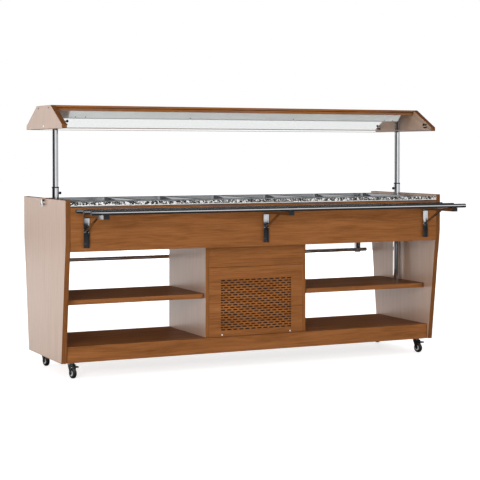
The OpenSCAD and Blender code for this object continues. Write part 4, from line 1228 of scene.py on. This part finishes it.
class CanopyOperator(bpy.types.Operator):
    """Gives the glass, the housing and the fittings their finishes and makes the lamp."""
    bl_idname = "salad_bar.canopy"
    bl_label = "Canopy glass and lamp"

    def execute(self, context):
        looks = make_materials(context)
        for node in ("glass_front", "glass_rear"):
            faces = NODES[node].data.polygons
            widest = max(faces, key=lambda f: f.area).normal.copy()
            dress(node, [looks["glass"], looks["glass_edge"]],
                  lambda face: 0 if abs(face.normal.dot(widest)) > 0.9 else 1)
        low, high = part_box("light_housing")
        middle = (low + high) / 2

        def outside(face):
            centre = face.center
            if abs(face.normal.x) > 0.9:
                return 0 if face.normal.x * (centre.x - middle.x) > 0 else 1
            return 0 if face.normal.y * centre.y > 0.0001 else 1

        dress("light_housing", [looks["housing"], looks["white"]], outside)
        cap_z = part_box("canopy_cap_left")[0].z

        def white_dot(face):
            return 1 if abs(face.center.x) > 1.0995 and face.center.z < cap_z + 0.03 else 0

        dress("canopy_fittings", [looks["gloss_black"], looks["white"]], white_dot)
        self.lamp(looks)
        return {"FINISHED"}

    @staticmethod
    def lamp(looks):
        low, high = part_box("lamp_tube")
        socket, rise, ferrule, r = 0.014, 0.009, 0.016, 0.008
        pin_apart, pin_radius, pin_length = 0.0024, 0.0012, 0.004
        z = low.z + rise
        inner = high.x - socket
        glass_end = inner - ferrule
        tube = lathe([(0.0, -glass_end), (r * 0.97, -glass_end), (r, -glass_end + 0.001),
                      (r, glass_end - 0.001), (r * 0.97, glass_end), (0.0, glass_end)], 32)
        shapes = [paint_shape(tube, 0)]
        for side in (-1, 1):
            to_side = Matrix.Rotation(0 if side > 0 else math.pi, 4, "X")
            cap = lathe([(0.0, glass_end - 0.002), (r * 0.99, glass_end - 0.002), (r, glass_end - 0.0015),
                         (r, inner - 0.003), (r * 0.9, inner - 0.002), (0.0, inner - 0.002)], 32)
            shapes.append(paint_shape(move(cap, to_side), 1))
            for y in (-pin_apart, pin_apart):
                pin = lathe([(0.0, inner - 0.0021), (pin_radius, inner - 0.0021),
                             (pin_radius, inner + pin_length), (0.0, inner + pin_length)], 12)
                move(pin, Matrix.Translation((0, y, 0)))
                shapes.append(paint_shape(move(pin, to_side), 1))
        tube = move(joined(shapes), Matrix.Translation((0, 0, z)) @ Matrix.Rotation(math.pi / 2, 4, "Y"))
        mesh = mesh_from(tube, [looks["lamp"], looks["housing"]])
        place_piece("lamp_glass", mesh, "canopy", ["lamp_tube"], 40)
        shapes = []
        for side in (-1, 1):
            box = bmesh.new()
            bmesh.ops.create_cube(box, size=1)
            move(box, Matrix.Diagonal((socket, 0.02, high.z - low.z, 1)))
            bmesh.ops.bevel(box, geom=box.edges[:], offset=0.0015, segments=3, profile=0.5, affect="EDGES")
            middle = Matrix.Translation((side * (high.x - socket / 2), 0, (low.z + high.z) / 2))
            shapes.append(move(box, middle))
        mesh = mesh_from(joined(shapes), [looks["white"]])
        place_piece("lamp_sockets", mesh, "canopy", ["lamp_tube"], 35)


class SlidesOperator(bpy.types.Operator):
    """Gives the tray slides their chrome, satin steel and black plugs."""
    bl_idname = "salad_bar.slides"
    bl_label = "Tray slides"

    def execute(self, context):
        looks = make_materials(context)
        tube_plug, arm_plug = 0.0022, 0.0031
        for side in ("front", "rear"):
            tube_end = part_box(f"{side}_slide_tubes")[1].x - tube_plug

            def in_tube_plug(face):
                return 1 if abs(face.center.x) > tube_end else 0

            dress(f"{side}_slide_tubes", [looks["chrome"], looks["plastic"]], in_tube_plug)
            arm_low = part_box(f"{side}_slide_arms")[0]

            def in_arm_plug(face):
                """The front arms stand out to the front, and the rear ones hang down."""
                if side == "front":
                    return 1 if face.center.y < arm_low.y + arm_plug else 0
                return 1 if face.center.z < arm_low.z + arm_plug else 0

            dress(f"{side}_slide_arms", [looks["satin"], looks["plastic"]], in_arm_plug)
            dress(f"{side}_slide_struts", [looks["satin"]])
        dress("slide_brackets", [looks["chrome"]])
        return {"FINISHED"}


class CastersOperator(bpy.types.Operator):
    """Makes tyres and ribbed hubs, and gives forks, plates and pedals their finishes."""
    bl_idname = "salad_bar.casters"
    bl_label = "Casters"

    def execute(self, context):
        looks = make_materials(context)
        dress("caster_plates", [looks["zinc"]])
        ribs = spoke_tree()
        count = context.scene.salad_bar_sizes.hub_ribs
        for index in range(1, 5):
            dress(f"caster_fork_{index}", [looks["caster_plastic"]])
            self.wheel(index, ribs, count, looks)
        for index in (1, 2):
            dress(f"brake_pedal_{index}", [looks["caster_plastic"]])
        return {"FINISHED"}

    @staticmethod
    def wheel(index, ribs, count, looks):
        low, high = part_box(f"caster_wheel_{index}")
        centre = (low + high) / 2
        heading = math.radians(-78)
        radius = (high.z - low.z) / 2
        half, seat = 0.010, 0.0150
        to_axle = (Matrix.Translation(centre) @ Matrix.Rotation(heading, 4, "Z")
                   @ Matrix.Rotation(math.pi / 2, 4, "X"))
        side = [(seat, half - 0.0006), (0.0185, half), (0.0215, half - 0.0004), (0.0240, half - 0.0012),
                (0.0258, half - 0.0030), (radius - 0.0002, half - 0.0058), (radius, 0.0022),
                (radius - 0.0006, 0.0016), (radius - 0.0006, 0.0008), (radius, 0.0002)]
        tyre = side + [(r, -h) for r, h in reversed(side)]
        body, replaced = f"wheel_{index}", [f"caster_wheel_{index}"]
        mesh = mesh_from(move(lathe(tyre, 64), to_axle), [looks["rubber"]])
        place_piece(f"wheel_{index}_tyre", mesh, body, replaced, 40)
        face = [(0.0031, 0.0108), (0.0058, 0.0108), (0.0062, 0.0104), (0.0062, 0.0086), (0.0118, 0.0082),
                (0.0122, 0.0100), (0.0128, 0.0106), (0.0142, 0.0106), (seat - 0.0002, 0.0100)]
        hub = face + [(r, -h) for r, h in reversed(face)]
        mesh = mesh_from(move(lathe(hub, 48), to_axle), [looks["hub"]])
        place_piece(f"wheel_{index}_hub", mesh, body, replaced, 40)
        mesh = grow(ribs, empty_mesh(), {
            "Count": count, "Inner": 0.0058, "Outer": 0.0124, "Thickness": 0.0014, "Depth": 0.0196,
            "Material": looks["hub"]})
        mesh.transform(to_axle)
        place_piece(f"wheel_{index}_ribs", mesh, body, replaced)


class CoolingOperator(bpy.types.Operator):
    """Gives the cooling unit its finishes and adds the condenser's fine fins."""
    bl_idname = "salad_bar.cooling"
    bl_label = "Cooling unit"

    def execute(self, context):
        looks = make_materials(context)
        sizes = context.scene.salad_bar_sizes
        self.condenser(looks, sizes.fin_pitch)
        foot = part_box("compressor")[0]
        pipes_end, pipes_foot = foot.x + 0.0235, foot.z + 0.06

        def copper_pipe(face):
            return 1 if face.center.x < pipes_end and face.center.z > pipes_foot else 0

        dress("compressor", [looks["paint"], looks["copper"]], copper_pipe)
        dress("fan_rotor", [looks["plastic"]])
        self.filter_mat(looks)
        dress("evaporator", [looks["copper"]])
        return {"FINISHED"}

    @staticmethod
    def condenser(looks, fin_pitch):
        """The condenser's block with its tubes, its fan ring and its fine fins."""
        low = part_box("condenser")[0]
        block, rows, rise, block_depth = 0.25, 6, 0.02, 0.0432
        tube_radius, tube_y = 0.0055, low.y + 0.02
        axis_x = -0.12
        block_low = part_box("deck_boards")[1].z + rise

        def condenser_finish(face):
            centre = face.center
            if centre.y > low.y + block_depth:
                return 2
            row = (centre.z - block_low) / block * rows
            near_tube = abs(row - math.floor(row) - 0.5) * block / rows < tube_radius
            in_tube = near_tube and abs(centre.y - tube_y) < tube_radius
            outside = abs(centre.x - axis_x) > 0.1295
            return 1 if in_tube and (outside or abs(face.normal.x) < 0.3) else 0

        dress("condenser", [looks["fin"], looks["copper"], looks["paint"]], condenser_finish)
        fins = grow(row_tree(), empty_mesh(), {
            "Count": int(block / fin_pitch) - 1,
            "First": (axis_x - block / 2 + fin_pitch, tube_y, block_low + block / 2),
            "Step": (fin_pitch, 0, 0), "Size": (0.0003, 0.0396, 0.249), "Material": looks["fin"]})
        place_piece("condenser_fins", fins, "cabinet")

    @staticmethod
    def filter_mat(looks):
        """The mat that keeps dust off the condenser, behind the front grille; its near-black is partly
        painted shade seen through the slots.
        """
        low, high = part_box("service_panel_front")
        less_wide, rise, thick, gap = 0.12, 0.02, 0.003, 0.001
        size = (high.x - low.x - less_wide, thick, high.z - low.z - 2 * rise)
        centre = ((low.x + high.x) / 2, high.y + thick / 2 + gap, (low.z + high.z) / 2)
        mat = bmesh.new()
        bmesh.ops.create_cube(mat, size=1)
        move(mat, Matrix.Translation(centre) @ Matrix.Diagonal((*size, 1)))
        place_piece("filter_mat", mesh_from(mat, [looks["mat"]]), "cabinet")


class ControlsOperator(bpy.types.Operator):
    """Gives the control unit and its rocker their finishes."""
    bl_idname = "salad_bar.controls"
    bl_label = "Controls"

    def execute(self, context):
        looks = make_materials(context)
        low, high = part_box("control_unit")
        middle = (low + high) / 2

        pin_x, pin_half, pin_z = middle.x - 0.046, 0.0085, 0.0052

        def control_finish(face):
            centre = face.center
            if face.normal.y > 0.9 and high.y - 0.0015 < centre.y < high.y - 0.0005:
                return 1
            near_pins = abs(centre.x - pin_x) < pin_half and abs(centre.z - middle.z) < pin_z
            in_recess = high.y - 0.0235 < centre.y < high.y - 0.004
            pins = near_pins and in_recess and (abs(face.normal.y) < 0.5 or centre.y > high.y - 0.02)
            return 2 if pins else 0

        dress("control_unit", [looks["plastic"], looks["screen"], looks["chrome"]], control_finish)
        dress("rocker_switch", [looks["gloss_black"]])
        return {"FINISHED"}


class SaladBarPanel(bpy.types.Panel):
    """Lists the steps, the sizes and the colours."""
    bl_idname = "VIEW3D_PT_salad_bar"
    bl_label = "Salad Bar"
    bl_space_type = "VIEW_3D"
    bl_region_type = "UI"
    bl_category = "Salad Bar"

    def draw(self, context):
        layout = self.layout
        for operator in OPERATORS:
            layout.operator(operator.bl_idname)
        for group in (context.scene.salad_bar_finishes, context.scene.salad_bar_sizes,
                      context.scene.salad_bar_studio):
            box = layout.box()
            for key in group.__annotations__:
                box.prop(group, key)


OPERATORS = (
    StudioOperator, JoineryOperator, StoneOperator, WellOperator, PansOperator, FastenersOperator,
    PostsOperator, CanopyOperator, SlidesOperator, CastersOperator, CoolingOperator, ControlsOperator)
CLASSES = (SaladBarFinishes, SaladBarSizes, SaladBarStudio, *OPERATORS, SaladBarPanel)


def register():
    for cls in CLASSES:
        bpy.utils.register_class(cls)
    bpy.types.Scene.salad_bar_finishes = PointerProperty(type=SaladBarFinishes)
    bpy.types.Scene.salad_bar_sizes = PointerProperty(type=SaladBarSizes)
    bpy.types.Scene.salad_bar_studio = PointerProperty(type=SaladBarStudio)


def unregister():
    del bpy.types.Scene.salad_bar_finishes
    del bpy.types.Scene.salad_bar_sizes
    del bpy.types.Scene.salad_bar_studio
    for cls in reversed(CLASSES):
        bpy.utils.unregister_class(cls)


def main():
    register()
    for operator in OPERATORS:
        group, name = operator.bl_idname.split(".")
        getattr(getattr(bpy.ops, group), name)()


if __name__ == "__main__":
    main()
